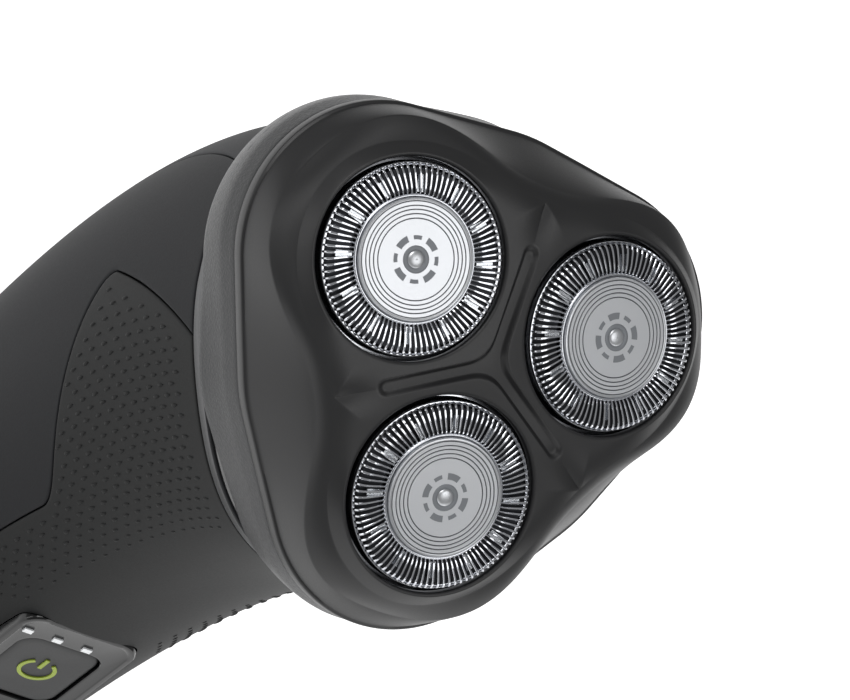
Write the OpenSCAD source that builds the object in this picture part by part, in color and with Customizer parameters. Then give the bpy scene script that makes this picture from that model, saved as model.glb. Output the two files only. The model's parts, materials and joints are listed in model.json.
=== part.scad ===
// Three-head rotary shaver: a curved handle, a click-on shaving unit and three floating cutters.
// The handle stands on the origin with +Z up. The power button faces -Y.
// The shaving face leans forward over the button.

/* [Layout] */
// Height of the centre of the shaving face above the base
head_height = 155; // [129:1:186]
// How far the centre of the shaving face stands in front of the base centre
head_reach = 35; // [29:1:42]
// Forward tilt of the shaving face, in degrees
face_tilt = 40; // [33:1:48]
// Height of the power symbol above the base
button_height = 60; // [50:1:72]

/* [Handle] */
// Width of the handle at its base
base_width = 34; // [29:0.5:41]
// Depth of the handle at its base
base_depth = 35; // [30:0.5:42]
// Width that the grip swells towards
grip_width = 44; // [38:0.5:53]
// Depth that the grip swells towards
grip_depth = 50; // [42:0.5:60]
// Width of the neck under the shaving unit
neck_width = 49; // [44:0.5:56]
// Depth of the neck under the shaving unit
neck_depth = 52; // [46:0.5:58]
// Wall of the handle's shells
shell_wall = 1.8; // [1.4:0.1:2.4]
// Gap along the seams between the shells
seam_gap = 0.12; // [0.05:0.01:0.3]
// Height of the cap that closes the base
cap_height = 6; // [5:0.5:8]

/* [Shaving unit] */
// Distance between the centres of two cutters
cutter_spacing = 26; // [24.5:0.1:31.2]
// Outward lean of each cutter, in degrees
cutter_lean = 6; // [4:0.5:8]
// Radius of the face's rim around each cutter
rim_radius = 16; // [15.4:0.1:19.2]
// Outward bow of the rim's sides
rim_bow = 1.4; // [0:0.1:3]
// Depth of the face cover, from the guards' plane to its rim
cover_depth = 11.2; // [10:0.1:13.4]
// Length of the hair chamber
chamber_depth = 8.6; // [8.2:0.1:10.3]
// Wall of the face cover
cover_wall = 1.2; // [1:0.1:1.3]
// Wall of the hair chamber
chamber_wall = 1.6; // [1.2:0.1:2]
// Width of the grooves between the cutters
groove_width = 1.8; // [1.4:0.1:2.2]

/* [Guards and cutters] */
// Radius of a guard's slotted track
guard_radius = 10.3; // [9.3:0.05:10.5]
// Radius of the plain disc in a guard's middle
disc_radius = 6.9; // [6:0.1:7.4]
// Number of hair slots in a guard
guard_slots = 30; // [20:1:36]
// How far a guard can be pressed in
float_travel = 1; // [0.6:0.1:1]
// Number of blades on a cutter
cutter_blades = 12; // [9:1:15]

/* [Drive] */
// Teeth of the central gear
central_teeth = 8; // [8:1:12]
// Teeth of each spindle gear
spindle_teeth = 28; // [24:1:32]
// Thickness of the gears
gear_thickness = 3; // [2.4:0.1:3]
// Radius of the motor
motor_radius = 11; // [9:0.5:12]
// Length of the motor
motor_length = 26; // [22:0.5:30]

/* [Power] */
// Radius of the battery cell
battery_radius = 7; // [5.5:0.1:7.5]
// Length of the battery cell
battery_length = 48; // [40:1:50]
// Width of the power button
button_width = 10.8; // [9:0.1:12]
// Height of the power button
button_length = 14; // [11.7:0.1:16]
// Travel of the power button
button_travel = 0.8; // [0.5:0.1:0.9]

/* [Hidden] */

// Where the three cutters sit around the face, seen from the front
LEFT = 150;
RIGHT = 30;
FRONT = 270;
LOBES = [LEFT, RIGHT, FRONT];
ROUND = 64;
HULL_FN = 32;
SLAB = 0.02;
EPS = 0.01;
running_gap = 0.05;
part_gap = 0.3;

// Levels of the shaving unit, measured along the face's normal from the guards' plane
cover_rim = -cover_depth;
chamber_top = cover_rim - 0.2;
chamber_end = chamber_top - chamber_depth;
neck_ring_top = chamber_end - part_gap;
neck_ring_height = 1.5;
band_top = neck_ring_top - neck_ring_height - 0.2;
band_height = 2;
neck_plane = band_top - band_height;
cutter_radius = cutter_spacing / sqrt(3);

// A guard's own levels, measured along its leaning axis from its top
face_step = 1.2;
cover_underside = -face_step - cover_wall;
track_wall = 0.35;
guard_tilt = 2;
opening_radius = guard_radius + 0.6;
flange_radius = opening_radius + 0.5;
flange_top = cover_underside - flange_radius * sin(guard_tilt) - 0.1;
flange_thickness = 0.6;
holder_radius = flange_radius + running_gap + 0.55;
holder_lip = flange_top - flange_thickness - float_travel - part_gap;
holder_lip_thickness = 0.4;
holder_bottom = holder_lip - holder_lip_thickness;
pivot_level = cover_underside - 1.7;
pivot_radius = 0.65;
pivot_length = 0.95;
post_wall = 0.4;
post_thickness = 0.9;
plateau_radius = holder_radius + 1.2;
hub_radius = 3.2;
hub_bottom = -6.4;
socket_top = -3.6;
drive_level = -5.2;
drive_socket_radius = 2.15;

// The retaining frame and its lock
frame_top = holder_bottom - holder_radius * sin(cutter_lean + guard_tilt) - 0.2;
frame_thickness = 1.2;
frame_bottom = frame_top - frame_thickness;
lock_stem_radius = 0.8;
lock_radius = 4.6;

// The gearbox in the bottom of the hair chamber
spindle_radius_at = cutter_radius + drive_level * sin(cutter_lean);
gear_module = 2 * spindle_radius_at / (central_teeth + spindle_teeth);
gearbox_cover_thickness = 1.2;
gearbox_floor = chamber_end;
gear_bottom = gearbox_floor + gearbox_cover_thickness + 0.3;
gear_top = gear_bottom + gear_thickness;
plate_bottom = gear_top + 0.3;
plate_thickness = 1.4;
plate_top = plate_bottom + plate_thickness;
spindle_tube_radius = 2.4;
spindle_top = plate_top + 2.6;
tip_radius = 1.3;
tip_bore_radius = 0.95;
tip_bottom = plate_top - 1.4;
spring_floor = gear_bottom + 0.8;
spring_top = plate_top + 3.2;
spring_wire = 0.17;
spring_turns = 6;
drive_socket_top = gear_bottom + 2.2;

// The motor under the neck ring
motor_plate_top = neck_plane - 0.2;
motor_plate_thickness = 1.6;
motor_top = motor_plate_top - motor_plate_thickness;
shaft_radius = 1;
seal_height = 2;

// The handle's curved centre line, a cubic curve in the YZ plane from the base cap to the neck
head_y = -head_reach;
head_z = head_height;
neck_centre_b = -3.6;
face_normal = [-sin(face_tilt), cos(face_tilt)];
face_up = [cos(face_tilt), sin(face_tilt)];
neck_end = [head_y, head_z] + neck_centre_b * face_up + neck_plane * face_normal;
spine = [
    [0, cap_height],
    [7, cap_height + 0.32 * head_height],
    neck_end - 0.22 * head_height * face_normal,
    neck_end
];
STATIONS = 13;
SECTION_POINTS = 48;

// The control panel on the grip
bezel_border = 2.6;
bezel_width = button_width + 2 * bezel_border;
bezel_length = button_length + 2 * bezel_border + 2.4;
bezel_corner = 3;
panel_gap = 0.12;

// The charging inlet
inlet_width = 9;
inlet_depth = 5.4;
inlet_height = 11;
inlet_wall = 1.2;

function mix(a, b, f) = a + (b - a) * f;
function quad(a, b, c, t) = pow(1 - t, 2) * a + 2 * t * (1 - t) * b + pow(t, 2) * c;
function cubic(p, t) =
    pow(1 - t, 3) * p[0] + 3 * t * pow(1 - t, 2) * p[1] + 3 * pow(t, 2) * (1 - t) * p[2] + pow(t, 3) * p[3];
function cubic_slope(p, t) =
    3 * pow(1 - t, 2) * (p[1] - p[0]) + 6 * t * (1 - t) * (p[2] - p[1]) + 3 * pow(t, 2) * (p[3] - p[2]);
function spine_tilt(t) = let (d = cubic_slope(spine, t)) t == 0 ? 0 : atan2(-d[0], d[1]) * min(1, t * 6);
function half_width(t) = quad(base_width, grip_width, neck_width, t) / 2;
function half_depth(t) = quad(base_depth, grip_depth, neck_depth, t) / 2;
function signed_power(x, e) = sign(x) * pow(abs(x), e);
SQUARENESS = 2.3;

// The face's three-lobed outline as a radius that swings between its lobes and its sides
lobe_reach = cutter_radius + rim_radius;
side_reach = cutter_radius / 2 + rim_radius + rim_bow;
function lobed_radius(a, inset) =
    (lobe_reach + side_reach) / 2 - inset + (lobe_reach - side_reach) / 2 * cos(3 * (a - RIGHT));

// One cross-section of the handle: a rounded oblong that takes on the face's outline towards the neck
function section(t, inset) = [
    for (i = [0 : SECTION_POINTS - 1])
        let (
            a = 360 * i / SECTION_POINTS,
            oblong = [
                (half_width(t) - inset) * signed_power(cos(a), 2 / SQUARENESS),
                (half_depth(t) - inset) * signed_power(sin(a), 2 / SQUARENESS)
            ],
            lobed = lobed_radius(a, inset + neck_inset) * [cos(a), sin(a)] - [0, neck_centre_b]
        )
            mix(oblong, lobed, neck_blend * pow(t, 3))
];
neck_blend = 0.6;
neck_inset = 2.7;

// A point in the YZ plane at a share of the half depth, from -1 at the front to 1 at the back
function across(t, share) =
    cubic(spine, t) + share * half_depth(t) * [cos(spine_tilt(t)), sin(spine_tilt(t))];

// The share of the spine at which the handle's front reaches a height, found by halving
function station_at(z, low = 0, high = 1, steps = 12) =
    steps == 0
        ? (low + high) / 2
        : let (middle = (low + high) / 2)
            across(middle, -1)[1] < z
                ? station_at(z, middle, high, steps - 1)
                : station_at(z, low, middle, steps - 1);
button_station = station_at(button_height);
panel_y = across(button_station, -1)[0];
panel_tilt = spine_tilt(button_station);

// Places a child in the shaving unit's frame, at the centre of the guards' plane
module in_head() {
    translate([0, head_y, head_z])
        rotate([face_tilt, 0, 0])
            children();
}

// Places a child on a cutter's leaning axis, with its X axis pointing away from the face's centre
module at_cutter(angle) {
    in_head()
        rotate([0, 0, angle])
            translate([cutter_radius, 0, 0])
                rotate([0, cutter_lean, 0])
                    children();
}

// Places a child on a drive spindle's axis, parallel to the face's normal
module at_spindle(angle) {
    in_head()
        rotate([0, 0, angle])
            translate([spindle_radius_at, 0, 0])
                children();
}

module ring(outer, inner, height) {
    difference() {
        cylinder(r = outer, h = height, $fn = ROUND);
        translate([0, 0, -EPS])
            cylinder(r = inner, h = height + 2 * EPS, $fn = ROUND);
    }
}

module rounded_block(size, corner) {
    linear_extrude(size[2])
        offset(corner, $fn = HULL_FN)
            square([size[0] - 2 * corner, size[1] - 2 * corner], center = true);
}

// ---------- outlines and lofts ----------

module face_outline(inset) {
    hull() {
        for (angle = LOBES)
            rotate([0, 0, angle])
                translate([cutter_radius, 0])
                    circle(rim_radius - inset, $fn = 40);
        for (angle = [90, 210, 330])
            rotate([0, 0, angle])
                translate([cutter_radius / 2 - 5, 0])
                    circle(rim_radius + 5 + rim_bow - inset, $fn = 72);
    }
}

module face_slab(level, inset) {
    translate([0, 0, level])
        linear_extrude(SLAB)
            face_outline(inset);
}

// A cross-section's points at their place in space
function placed_section(t, inset) =
    let (centre = cubic(spine, t), tilt = spine_tilt(t))
        [
            for (p = section(t, inset))
                [p[0], centre[0] + p[1] * cos(tilt), centre[1] + p[1] * sin(tilt)]
        ];

// Joins rings of points into one closed solid
module loft(rings) {
    count = len(rings[0]);
    last = len(rings) - 1;
    sides = [
        for (i = [0 : last - 1])
            for (k = [0 : count - 1])
                let (a = i * count + k, b = i * count + (k + 1) % count)
                    each [[a, b + count, b], [a, a + count, b + count]]
    ];
    bottom = [for (k = [0 : count - 1]) k];
    top = [for (k = [count - 1 : -1 : 0]) last * count + k];
    polyhedron([for (ring = rings) each ring], concat(sides, [bottom, top]), convexity = 6);
}

function moved(ring, step) = [for (p = ring) p + step];

// The handle's outside, and its inside with both ends running out past the wall's
module handle_wall() {
    outside = [for (i = [0 : STATIONS]) placed_section(i / STATIONS, 0)];
    inside = [for (i = [0 : STATIONS]) placed_section(i / STATIONS, shell_wall)];
    difference() {
        loft(outside);
        loft(concat(
            [moved(inside[0], [0, 0, -1])],
            inside,
            [moved(inside[STATIONS], [0, face_normal[0], face_normal[1]])]
        ));
    }
}

// Seams run at a share of the handle's depth that changes along the handle
function rear_seam(t) = 0.73 - 0.16 * pow(max(0, (t - 0.7) / 0.3), 2);
function front_seam(t) =
    t < 0.6 ? -0.72 : t < 0.8 ? mix(-0.72, 0.14, pow(sin(90 * (t - 0.6) / 0.2), 2)) : 0.14 - 0.3 * (t - 0.8) / 0.2;

SEAM_STEPS = 28;

// All space on one side of a seam, as strips that run back or ahead from it and overlap as they spread
module beside_seam(line, far) {
    first = line[0];
    last = line[len(line) - 1];
    long_line = concat([first - [0, head_height]], line, [last + 30 * face_normal]);
    spread = 5;
    rotate([90, 0, 90])
        linear_extrude(4 * neck_width, center = true)
            for (i = [0 : len(long_line) - 2])
                hull()
                    polygon([
                        long_line[i], long_line[i + 1],
                        [far, long_line[i + 1][1] + spread], [far, long_line[i][1] - spread]
                    ]);
}

module rear_region(gap) {
    beside_seam([for (i = [0 : SEAM_STEPS]) let (t = i / SEAM_STEPS) across(t, rear_seam(t)) + [gap, 0]], 200);
}

module front_region(gap) {
    beside_seam([for (i = [0 : SEAM_STEPS]) let (t = i / SEAM_STEPS) across(t, front_seam(t)) - [gap, 0]], -200);
}

// ---------- handle ----------

module at_button() {
    translate([0, panel_y, button_height])
        rotate([90 + panel_tilt, 0, 0])
            children();
}

module front_shell() {
    color("#2a2b2d")
        difference() {
            intersection() {
                handle_wall();
                front_region(0);
            }
            at_button()
                translate([0, 1.2, -8])
                    linear_extrude(16)
                        square([bezel_width, bezel_length], center = true);
        }
}

module rear_shell() {
    color("#3c3d40")
        intersection() {
            handle_wall();
            rear_region(0);
        }
}

module side_panel(side) {
    difference() {
        intersection() {
            handle_wall();
            translate([side > 0 ? EPS : -200 - EPS, -200, -50])
                cube([200, 400, 400]);
        }
        front_region(-seam_gap);
        rear_region(-seam_gap);
    }
}

module side_panel_left() {
    color("#303134")
        side_panel(-1);
}

module side_panel_right() {
    color("#303134")
        side_panel(1);
}

module neck_outline(inset) {
    translate([0, neck_centre_b])
        polygon(section(1, inset));
}

module neck_band() {
    color("#3a3b3d")
        in_head()
            translate([0, 0, neck_plane + seam_gap])
                difference() {
                    linear_extrude(band_height - seam_gap)
                        neck_outline(0);
                    translate([0, 0, -EPS])
                        linear_extrude(band_height + 2 * EPS)
                            neck_outline(shell_wall);
                }
}

module neck_ring() {
    color("#111214")
        in_head()
            translate([0, 0, band_top + seam_gap])
                difference() {
                    linear_extrude(neck_ring_height)
                        neck_outline(0.7);
                    translate([0, 0, -EPS])
                        linear_extrude(neck_ring_height + 2 * EPS)
                            neck_outline(3.4);
                }
}

module base_cap() {
    foot_inset = 2.5;
    color("#2a2b2d")
        difference() {
            union() {
                hull() {
                    linear_extrude(SLAB)
                        polygon(section(0, foot_inset));
                    translate([0, 0, cap_height / 3])
                        linear_extrude(SLAB)
                            polygon(section(0, 0.5));
                    translate([0, 0, cap_height - seam_gap - SLAB])
                        linear_extrude(SLAB)
                            polygon(section(0, 0));
                }
                translate([0, 0, cap_height - 1])
                    linear_extrude(3)
                        polygon(section(0, shell_wall + 0.4));
            }
            translate([0, 0, 2])
                linear_extrude(cap_height + 2)
                    polygon(section(0, shell_wall + 1.8));
            translate([0, 0, -EPS])
                linear_extrude(3)
                    square([inlet_width + 2 * inlet_wall, inlet_depth + 2 * inlet_wall], center = true);
            for (side = [-1, 1])
                translate([side * screw_offset, 0, -EPS])
                    cylinder(r = 1.25, h = 3, $fn = ROUND);
            for (side = [-1, 1])
                translate([side * screw_offset, 0, -EPS])
                    cylinder(r = 2.1, h = 1.2, $fn = ROUND);
        }
}
screw_offset = inlet_width / 2 + inlet_wall + 3;

module screw(radius, head, length) {
    difference() {
        union() {
            cylinder(r = head, h = 0.9, $fn = ROUND);
            cylinder(r = radius, h = length, $fn = ROUND);
        }
        for (turn = [0, 90])
            rotate([0, 0, turn])
                translate([0, 0, 0])
                    cube([head * 1.2, head * 0.3, 0.8], center = true);
    }
}

module base_screws() {
    color("#8a8c90")
        for (side = [-1, 1])
            translate([side * screw_offset, 0, 0.2])
                screw(1.15, 2, 6);
}

module button_bezel() {
    lift = 1.0;
    color("#2c2d2f")
        at_button()
            translate([0, 1.2, -4.6])
                difference() {
                    rounded_block([bezel_width - 2 * panel_gap, bezel_length - 2 * panel_gap, 4.6 + lift], bezel_corner);
                    translate([0, -1.2, -EPS])
                        linear_extrude(10)
                            square([button_width + 2 * panel_gap, button_length + 2 * panel_gap], center = true);
                    for (x = indicator_places)
                        translate([x, button_length / 2, 3])
                            linear_extrude(4)
                                square([indicator_width + 0.1, indicator_height + 0.1], center = true);
                }
}
indicator_places = [-6, -2, 2];
indicator_width = 1.2;
indicator_height = 0.8;

module power_button() {
    color("#36373a")
        at_button()
            union() {
                translate([0, 0, -2])
                    rounded_block([button_width, button_length, 2.4], 2.4);
                translate([0, 0, -4])
                    cylinder(r = 1.5, h = 2.5, $fn = ROUND);
            }
}

module indicator_windows() {
    color("white")
        at_button()
            for (x = indicator_places)
                translate([x, button_length / 2 + 1.2, -1.5])
                    linear_extrude(2.6)
                        square([indicator_width, indicator_height], center = true);
}

board_y = panel_y + 8.5;
board_bottom = cap_height + 14;
board_length = button_height + 14 - board_bottom;

module circuit_board() {
    color("#1f6b3a")
        translate([-9, board_y, board_bottom])
            cube([18, 1.2, board_length]);
}

module tact_switch() {
    height = board_y - panel_y - 4 - button_travel - part_gap;
    color("#555555")
        union() {
            translate([-3, board_y - height + 1, button_height - 3])
                cube([6, height - 1, 6]);
            translate([0, board_y, button_height])
                rotate([90, 0, 0])
                    cylinder(r = 1.4, h = height, $fn = ROUND);
        }
}

battery_y = board_y + 1.2 + 2.2 + battery_radius + part_gap;
battery_bottom = cap_height + 14.5;

module battery() {
    color("#2f6fb5")
        translate([0, battery_y, battery_bottom])
            union() {
                cylinder(r = battery_radius, h = battery_length, $fn = ROUND);
                translate([0, 0, battery_length - EPS])
                    cylinder(r = 2.5, h = 1 + EPS, $fn = ROUND);
            }
}

module battery_contacts() {
    color("#c9ccd1")
        for (level = [battery_bottom - 0.5, battery_bottom + battery_length + 1])
            translate([-4, battery_y - 4, level])
                cube([8, 8, 0.5]);
}

// The tray between the board and the cell, with a shelf at each end of the cell
module inner_frame() {
    tray_y = board_y + 1.2;
    shelf = battery_y + 3 - tray_y;
    color("#8f9296")
        difference() {
            union() {
                translate([-10, tray_y, battery_bottom - 2])
                    cube([20, 1.6, battery_length + 5.2]);
                for (level = [battery_bottom - 2, battery_bottom + battery_length + 1.5])
                    translate([-6, tray_y, level])
                        cube([12, shelf, 1.5]);
            }
            for (place = frame_screw_places)
                translate([place[0], tray_y - 1, place[1]])
                    rotate([-90, 0, 0])
                        cylinder(r = 0.8, h = 4, $fn = ROUND);
        }
}
frame_screw_places = [
    [-7.5, board_bottom + 3], [7.5, board_bottom + 3],
    [-7.5, board_bottom + board_length - 14], [7.5, board_bottom + board_length - 14]
];

module frame_screws() {
    color("#8a8c90")
        for (place = frame_screw_places)
            translate([place[0], board_y - 0.9, place[1]])
                rotate([-90, 0, 0])
                    difference() {
                        cylinder(r = 1.5, h = 0.9, $fn = ROUND);
                        cube([2, 0.4, 0.6], center = true);
                    }
}

module motor() {
    color("#b9bcc1")
        in_head()
            translate([0, 0, motor_top - motor_length])
                difference() {
                    union() {
                        cylinder(r = motor_radius, h = motor_length, $fn = ROUND);
                        translate([0, 0, -1.5])
                            cylinder(r = 4, h = 2, $fn = ROUND);
                    }
                    translate([0, 0, motor_length - 8])
                        cylinder(r = shaft_radius + running_gap, h = 9, $fn = ROUND);
                    for (side = [-1, 1])
                        translate([side * motor_radius * 0.6, 0, motor_length - 3])
                            cylinder(r = 0.8, h = 4, $fn = ROUND);
                }
}

module motor_plate() {
    color("#7b7e82")
        in_head()
            translate([0, 0, motor_plate_top - motor_plate_thickness])
                difference() {
                    linear_extrude(motor_plate_thickness)
                        neck_outline(shell_wall + 1.4);
                    translate([0, 0, -EPS])
                        cylinder(r = 3, h = 3, $fn = ROUND);
                    for (side = [-1, 1])
                        translate([side * motor_radius * 0.6, 0, -EPS])
                            cylinder(r = 0.8, h = 3, $fn = ROUND);
                }
}

module motor_screws() {
    color("#8a8c90")
        in_head()
            for (side = [-1, 1])
                translate([side * motor_radius * 0.6, 0, motor_plate_top + 0.9])
                    rotate([180, 0, 0])
                        screw(0.75, 1.5, 4.4);
}

// Two soft leads from the motor's end to the board
module motor_leads() {
    lead = 0.45;
    motor_back = [head_y, head_z] + (motor_top - motor_length) * face_normal;
    board_top = [board_y + 0.6, board_bottom + board_length];
    start = motor_back - 3 * face_normal;
    middle = mix(start, board_top, 0.5) + [1.5, 0];
    color("#a02c2c")
        for (side = [-1, 1]) {
            stops = [
                [side * 5.5, motor_back[0] - lead * face_normal[0], motor_back[1] - lead * face_normal[1]],
                [side * 5, start[0], start[1]],
                [side * 4, middle[0], middle[1]],
                [side * 4, board_top[0], board_top[1] + lead]
            ];
            for (i = [0 : len(stops) - 2])
                hull() {
                    translate(stops[i])
                        sphere(lead, $fn = 8);
                    translate(stops[i + 1])
                        sphere(lead, $fn = 8);
                }
        }
}

module motor_shaft() {
    color("#d5d8dc")
        in_head()
            translate([0, 0, motor_top - 6])
                cylinder(r = shaft_radius, h = gearbox_floor + 1.2 - motor_top + 6, $fn = ROUND);
}

// The six-sided key that the shaving unit's central gear drops onto
module drive_coupling() {
    foot = gearbox_floor - part_gap - 1.2;
    color("#e3e5e8")
        in_head()
            difference() {
                union() {
                    translate([0, 0, foot])
                        cylinder(r = 2.6, h = 1.2, $fn = ROUND);
                    translate([0, 0, foot + 1.2 - EPS])
                        cylinder(r = drive_key_radius, h = drive_socket_top - foot - 1.2 - part_gap, $fn = 6);
                }
                translate([0, 0, foot - EPS])
                    cylinder(r = shaft_radius, h = gearbox_floor + 1.2 - foot + EPS, $fn = ROUND);
            }
}
drive_key_radius = 1.75;

module shaft_seal() {
    color("#202020")
        in_head()
            translate([0, 0, motor_plate_top - motor_plate_thickness])
                ring(3, shaft_radius + running_gap, seal_height);
}

module charging_inlet() {
    color("#1b1b1c")
        difference() {
            translate([0, 0, 0.3])
                rounded_block([inlet_width + 2 * inlet_wall - 0.2, inlet_depth + 2 * inlet_wall - 0.2, inlet_height + 1.5], 1.6);
            translate([0, 0, -EPS])
                linear_extrude(inlet_height)
                    square([inlet_width, inlet_depth], center = true);
            for (side = [-1, 1])
                translate([side * 2.4, 0, inlet_height - 1])
                    cylinder(r = 0.6, h = 4, $fn = ROUND);
        }
}

module inlet_pins() {
    color("#d8c27a")
        for (side = [-1, 1])
            translate([side * 2.4, 0, inlet_height - 5])
                cylinder(r = 0.6, h = 7, $fn = ROUND);
}

// ---------- shaving unit ----------

module hair_chamber() {
    color("#3f4042")
        in_head()
            difference() {
                union() {
                    hull() {
                        face_slab(chamber_top - SLAB, 0.45);
                        face_slab(mix(chamber_top, chamber_end, 0.25), 0);
                    }
                    hull() {
                        face_slab(mix(chamber_top, chamber_end, 0.25), 0);
                        face_slab(mix(chamber_top, chamber_end, 0.6), 0.1);
                    }
                    hull() {
                        face_slab(mix(chamber_top, chamber_end, 0.6), 0.1);
                        face_slab(chamber_end, 1.6);
                    }
                }
                hull() {
                    face_slab(chamber_top + 1, chamber_wall + 0.45);
                    face_slab(plate_top, chamber_wall + 0.45);
                }
                hull() {
                    face_slab(plate_top + 1, chamber_wall + 1.6);
                    face_slab(chamber_end - 1, chamber_wall + 1.6);
                }
                for (angle = LOBES)
                    hull() {
                        rotate([0, 0, angle])
                            translate([cutter_radius, 0, plate_top])
                                cylinder(r = rim_radius - chamber_wall - 0.6, h = 1, $fn = HULL_FN);
                        translate([0, 0, plate_top])
                            cylinder(r = 2, h = 1, $fn = HULL_FN);
                    }
            }
}

module plate_outline(gap) {
    face_outline(chamber_wall + 1.6 + gap);
}

module gear_plate() {
    color("#56585b")
        in_head()
            difference() {
                union() {
                    translate([0, 0, plate_bottom])
                        linear_extrude(plate_thickness)
                            plate_outline(0.1);
                    for (angle = LOBES)
                        rotate([0, 0, angle])
                            translate([spindle_radius_at, 0, plate_bottom])
                                cylinder(r = seal_radius + 0.8, h = plate_thickness + 0.9, $fn = ROUND);
                }
                for (angle = LOBES)
                    rotate([0, 0, angle]) {
                        translate([spindle_radius_at, 0, plate_bottom - EPS])
                            cylinder(r = spindle_tube_radius + running_gap, h = 5, $fn = ROUND);
                        translate([spindle_radius_at, 0, plate_top])
                            cylinder(r = seal_radius, h = 3, $fn = ROUND);
                    }
                for (angle = [90, 210, 330])
                    rotate([0, 0, angle])
                        translate([plate_screw_radius, 0, plate_bottom - EPS])
                            cylinder(r = 0.8, h = 3, $fn = ROUND);
            }
}
seal_radius = spindle_tube_radius + 1;
plate_screw_radius = cutter_radius * 1.2;

module spindle_seals() {
    color("#202020")
        for (angle = LOBES)
            at_spindle(angle)
                translate([0, 0, plate_top])
                    ring(seal_radius, spindle_tube_radius + running_gap, 0.8);
}

module gearbox_cover() {
    color("#4c4e51")
        in_head()
            difference() {
                union() {
                    translate([0, 0, gearbox_floor])
                        linear_extrude(gearbox_cover_thickness)
                            plate_outline(0.1);
                    for (angle = [90, 210, 330])
                        rotate([0, 0, angle])
                            translate([plate_screw_radius, 0, gearbox_floor])
                                cylinder(r = 1.6, h = plate_bottom - gearbox_floor, $fn = ROUND);
                }
                translate([0, 0, gearbox_floor - EPS])
                    cylinder(r = central_hub_radius + running_gap, h = 3, $fn = ROUND);
                for (angle = LOBES)
                    rotate([0, 0, angle])
                        translate([spindle_radius_at, 0, gearbox_floor + 0.3])
                            cylinder(r = 1.2 + running_gap, h = 3, $fn = ROUND);
                for (angle = [90, 210, 330])
                    rotate([0, 0, angle])
                        translate([plate_screw_radius, 0, plate_bottom - 2.5])
                            cylinder(r = 0.75, h = 3, $fn = ROUND);
            }
}
central_hub_radius = 2.8;

module gearbox_screws() {
    color("#8a8c90")
        in_head()
            for (angle = [90, 210, 330])
                rotate([0, 0, angle])
                    translate([plate_screw_radius, 0, plate_top + 0.9])
                        rotate([180, 0, 0])
                            screw(0.7, 1.5, 4);
}

// A straight-sided spur gear with its first tooth on +X
module gear(teeth, height) {
    pitch = gear_module * teeth / 2;
    tip = pitch + gear_module * 0.85;
    root = pitch - gear_module * 1.1;
    step = 360 / teeth;
    outline = [
        for (i = [0 : teeth - 1])
            for (corner = [[root, -0.32], [tip, -0.115], [tip, 0.115], [root, 0.32]])
                corner[0] * [cos(step * (i + corner[1])), sin(step * (i + corner[1]))]
    ];
    linear_extrude(height)
        polygon(outline);
}

module central_gear() {
    color("#e9e4d4")
        in_head()
            difference() {
                union() {
                    translate([0, 0, gear_bottom])
                        gear(central_teeth, gear_thickness);
                    translate([0, 0, gearbox_floor + 0.1])
                        cylinder(r = central_hub_radius, h = gear_bottom - gearbox_floor - 0.1, $fn = ROUND);
                }
                translate([0, 0, gearbox_floor - EPS])
                    cylinder(r = drive_key_radius + 0.25, h = drive_socket_top - gearbox_floor + EPS, $fn = 6);
            }
}

// Turns a spindle gear so that one of its gaps meets the central gear's nearest tooth
function mesh_turn(angle) =
    let (step = 360 / central_teeth, offset = round(angle / step) * step - angle)
        180 + 180 / spindle_teeth - offset * central_teeth / spindle_teeth;

module spindle(angle) {
    color("#e9e4d4")
        at_spindle(angle)
            difference() {
                union() {
                    translate([0, 0, gear_bottom])
                        rotate([0, 0, mesh_turn(angle)])
                            gear(spindle_teeth, gear_thickness);
                    translate([0, 0, gear_bottom])
                        cylinder(r = spindle_tube_radius, h = spindle_top - gear_bottom, $fn = ROUND);
                    translate([0, 0, gearbox_floor + 0.4])
                        cylinder(r = 1.2, h = 2, $fn = ROUND);
                }
                translate([0, 0, spring_floor])
                    cylinder(r = tip_radius + running_gap, h = 20, $fn = ROUND);
            }
}

module spindle_tip(angle) {
    shoulder = hub_bottom - 0.3;
    color("#f2efe6")
        at_spindle(angle)
            difference() {
                union() {
                    translate([0, 0, tip_bottom])
                        cylinder(r = tip_radius, h = shoulder - tip_bottom + EPS, $fn = ROUND);
                    translate([0, 0, shoulder])
                        cylinder(r1 = 1.65, r2 = 1.1, h = socket_top - 0.4 - shoulder, $fn = 6);
                }
                translate([0, 0, tip_bottom - EPS])
                    cylinder(r = tip_bore_radius, h = spring_top + float_travel + 0.2 - tip_bottom, $fn = ROUND);
            }
}

// A coil spring as one tube swept along a helix
module coil(radius, wire, height, turns) {
    rings = turns * 8;
    sides = 5;
    climb = (height - 2 * wire) / rings;
    points = [
        for (i = [0 : rings])
            for (k = [0 : sides - 1])
                let (turn = 45 * i, side = 360 * k / sides)
                    [
                        (radius + wire * cos(side)) * cos(turn),
                        (radius + wire * cos(side)) * sin(turn),
                        wire + climb * i + wire * sin(side)
                    ]
    ];
    walls = [
        for (i = [0 : rings - 1])
            for (k = [0 : sides - 1])
                let (next = (k + 1) % sides)
                    [i * sides + k, i * sides + next, (i + 1) * sides + next, (i + 1) * sides + k]
    ];
    start = [[for (k = [sides - 1 : -1 : 0]) k]];
    end = [[for (k = [0 : sides - 1]) rings * sides + k]];
    polyhedron(points, concat(walls, start, end), convexity = 8);
}

module spindle_spring(angle) {
    color("#b9bcc1")
        at_spindle(angle)
            translate([0, 0, spring_floor])
                coil(0.66, spring_wire, spring_top - spring_floor, spring_turns);
}

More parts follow.
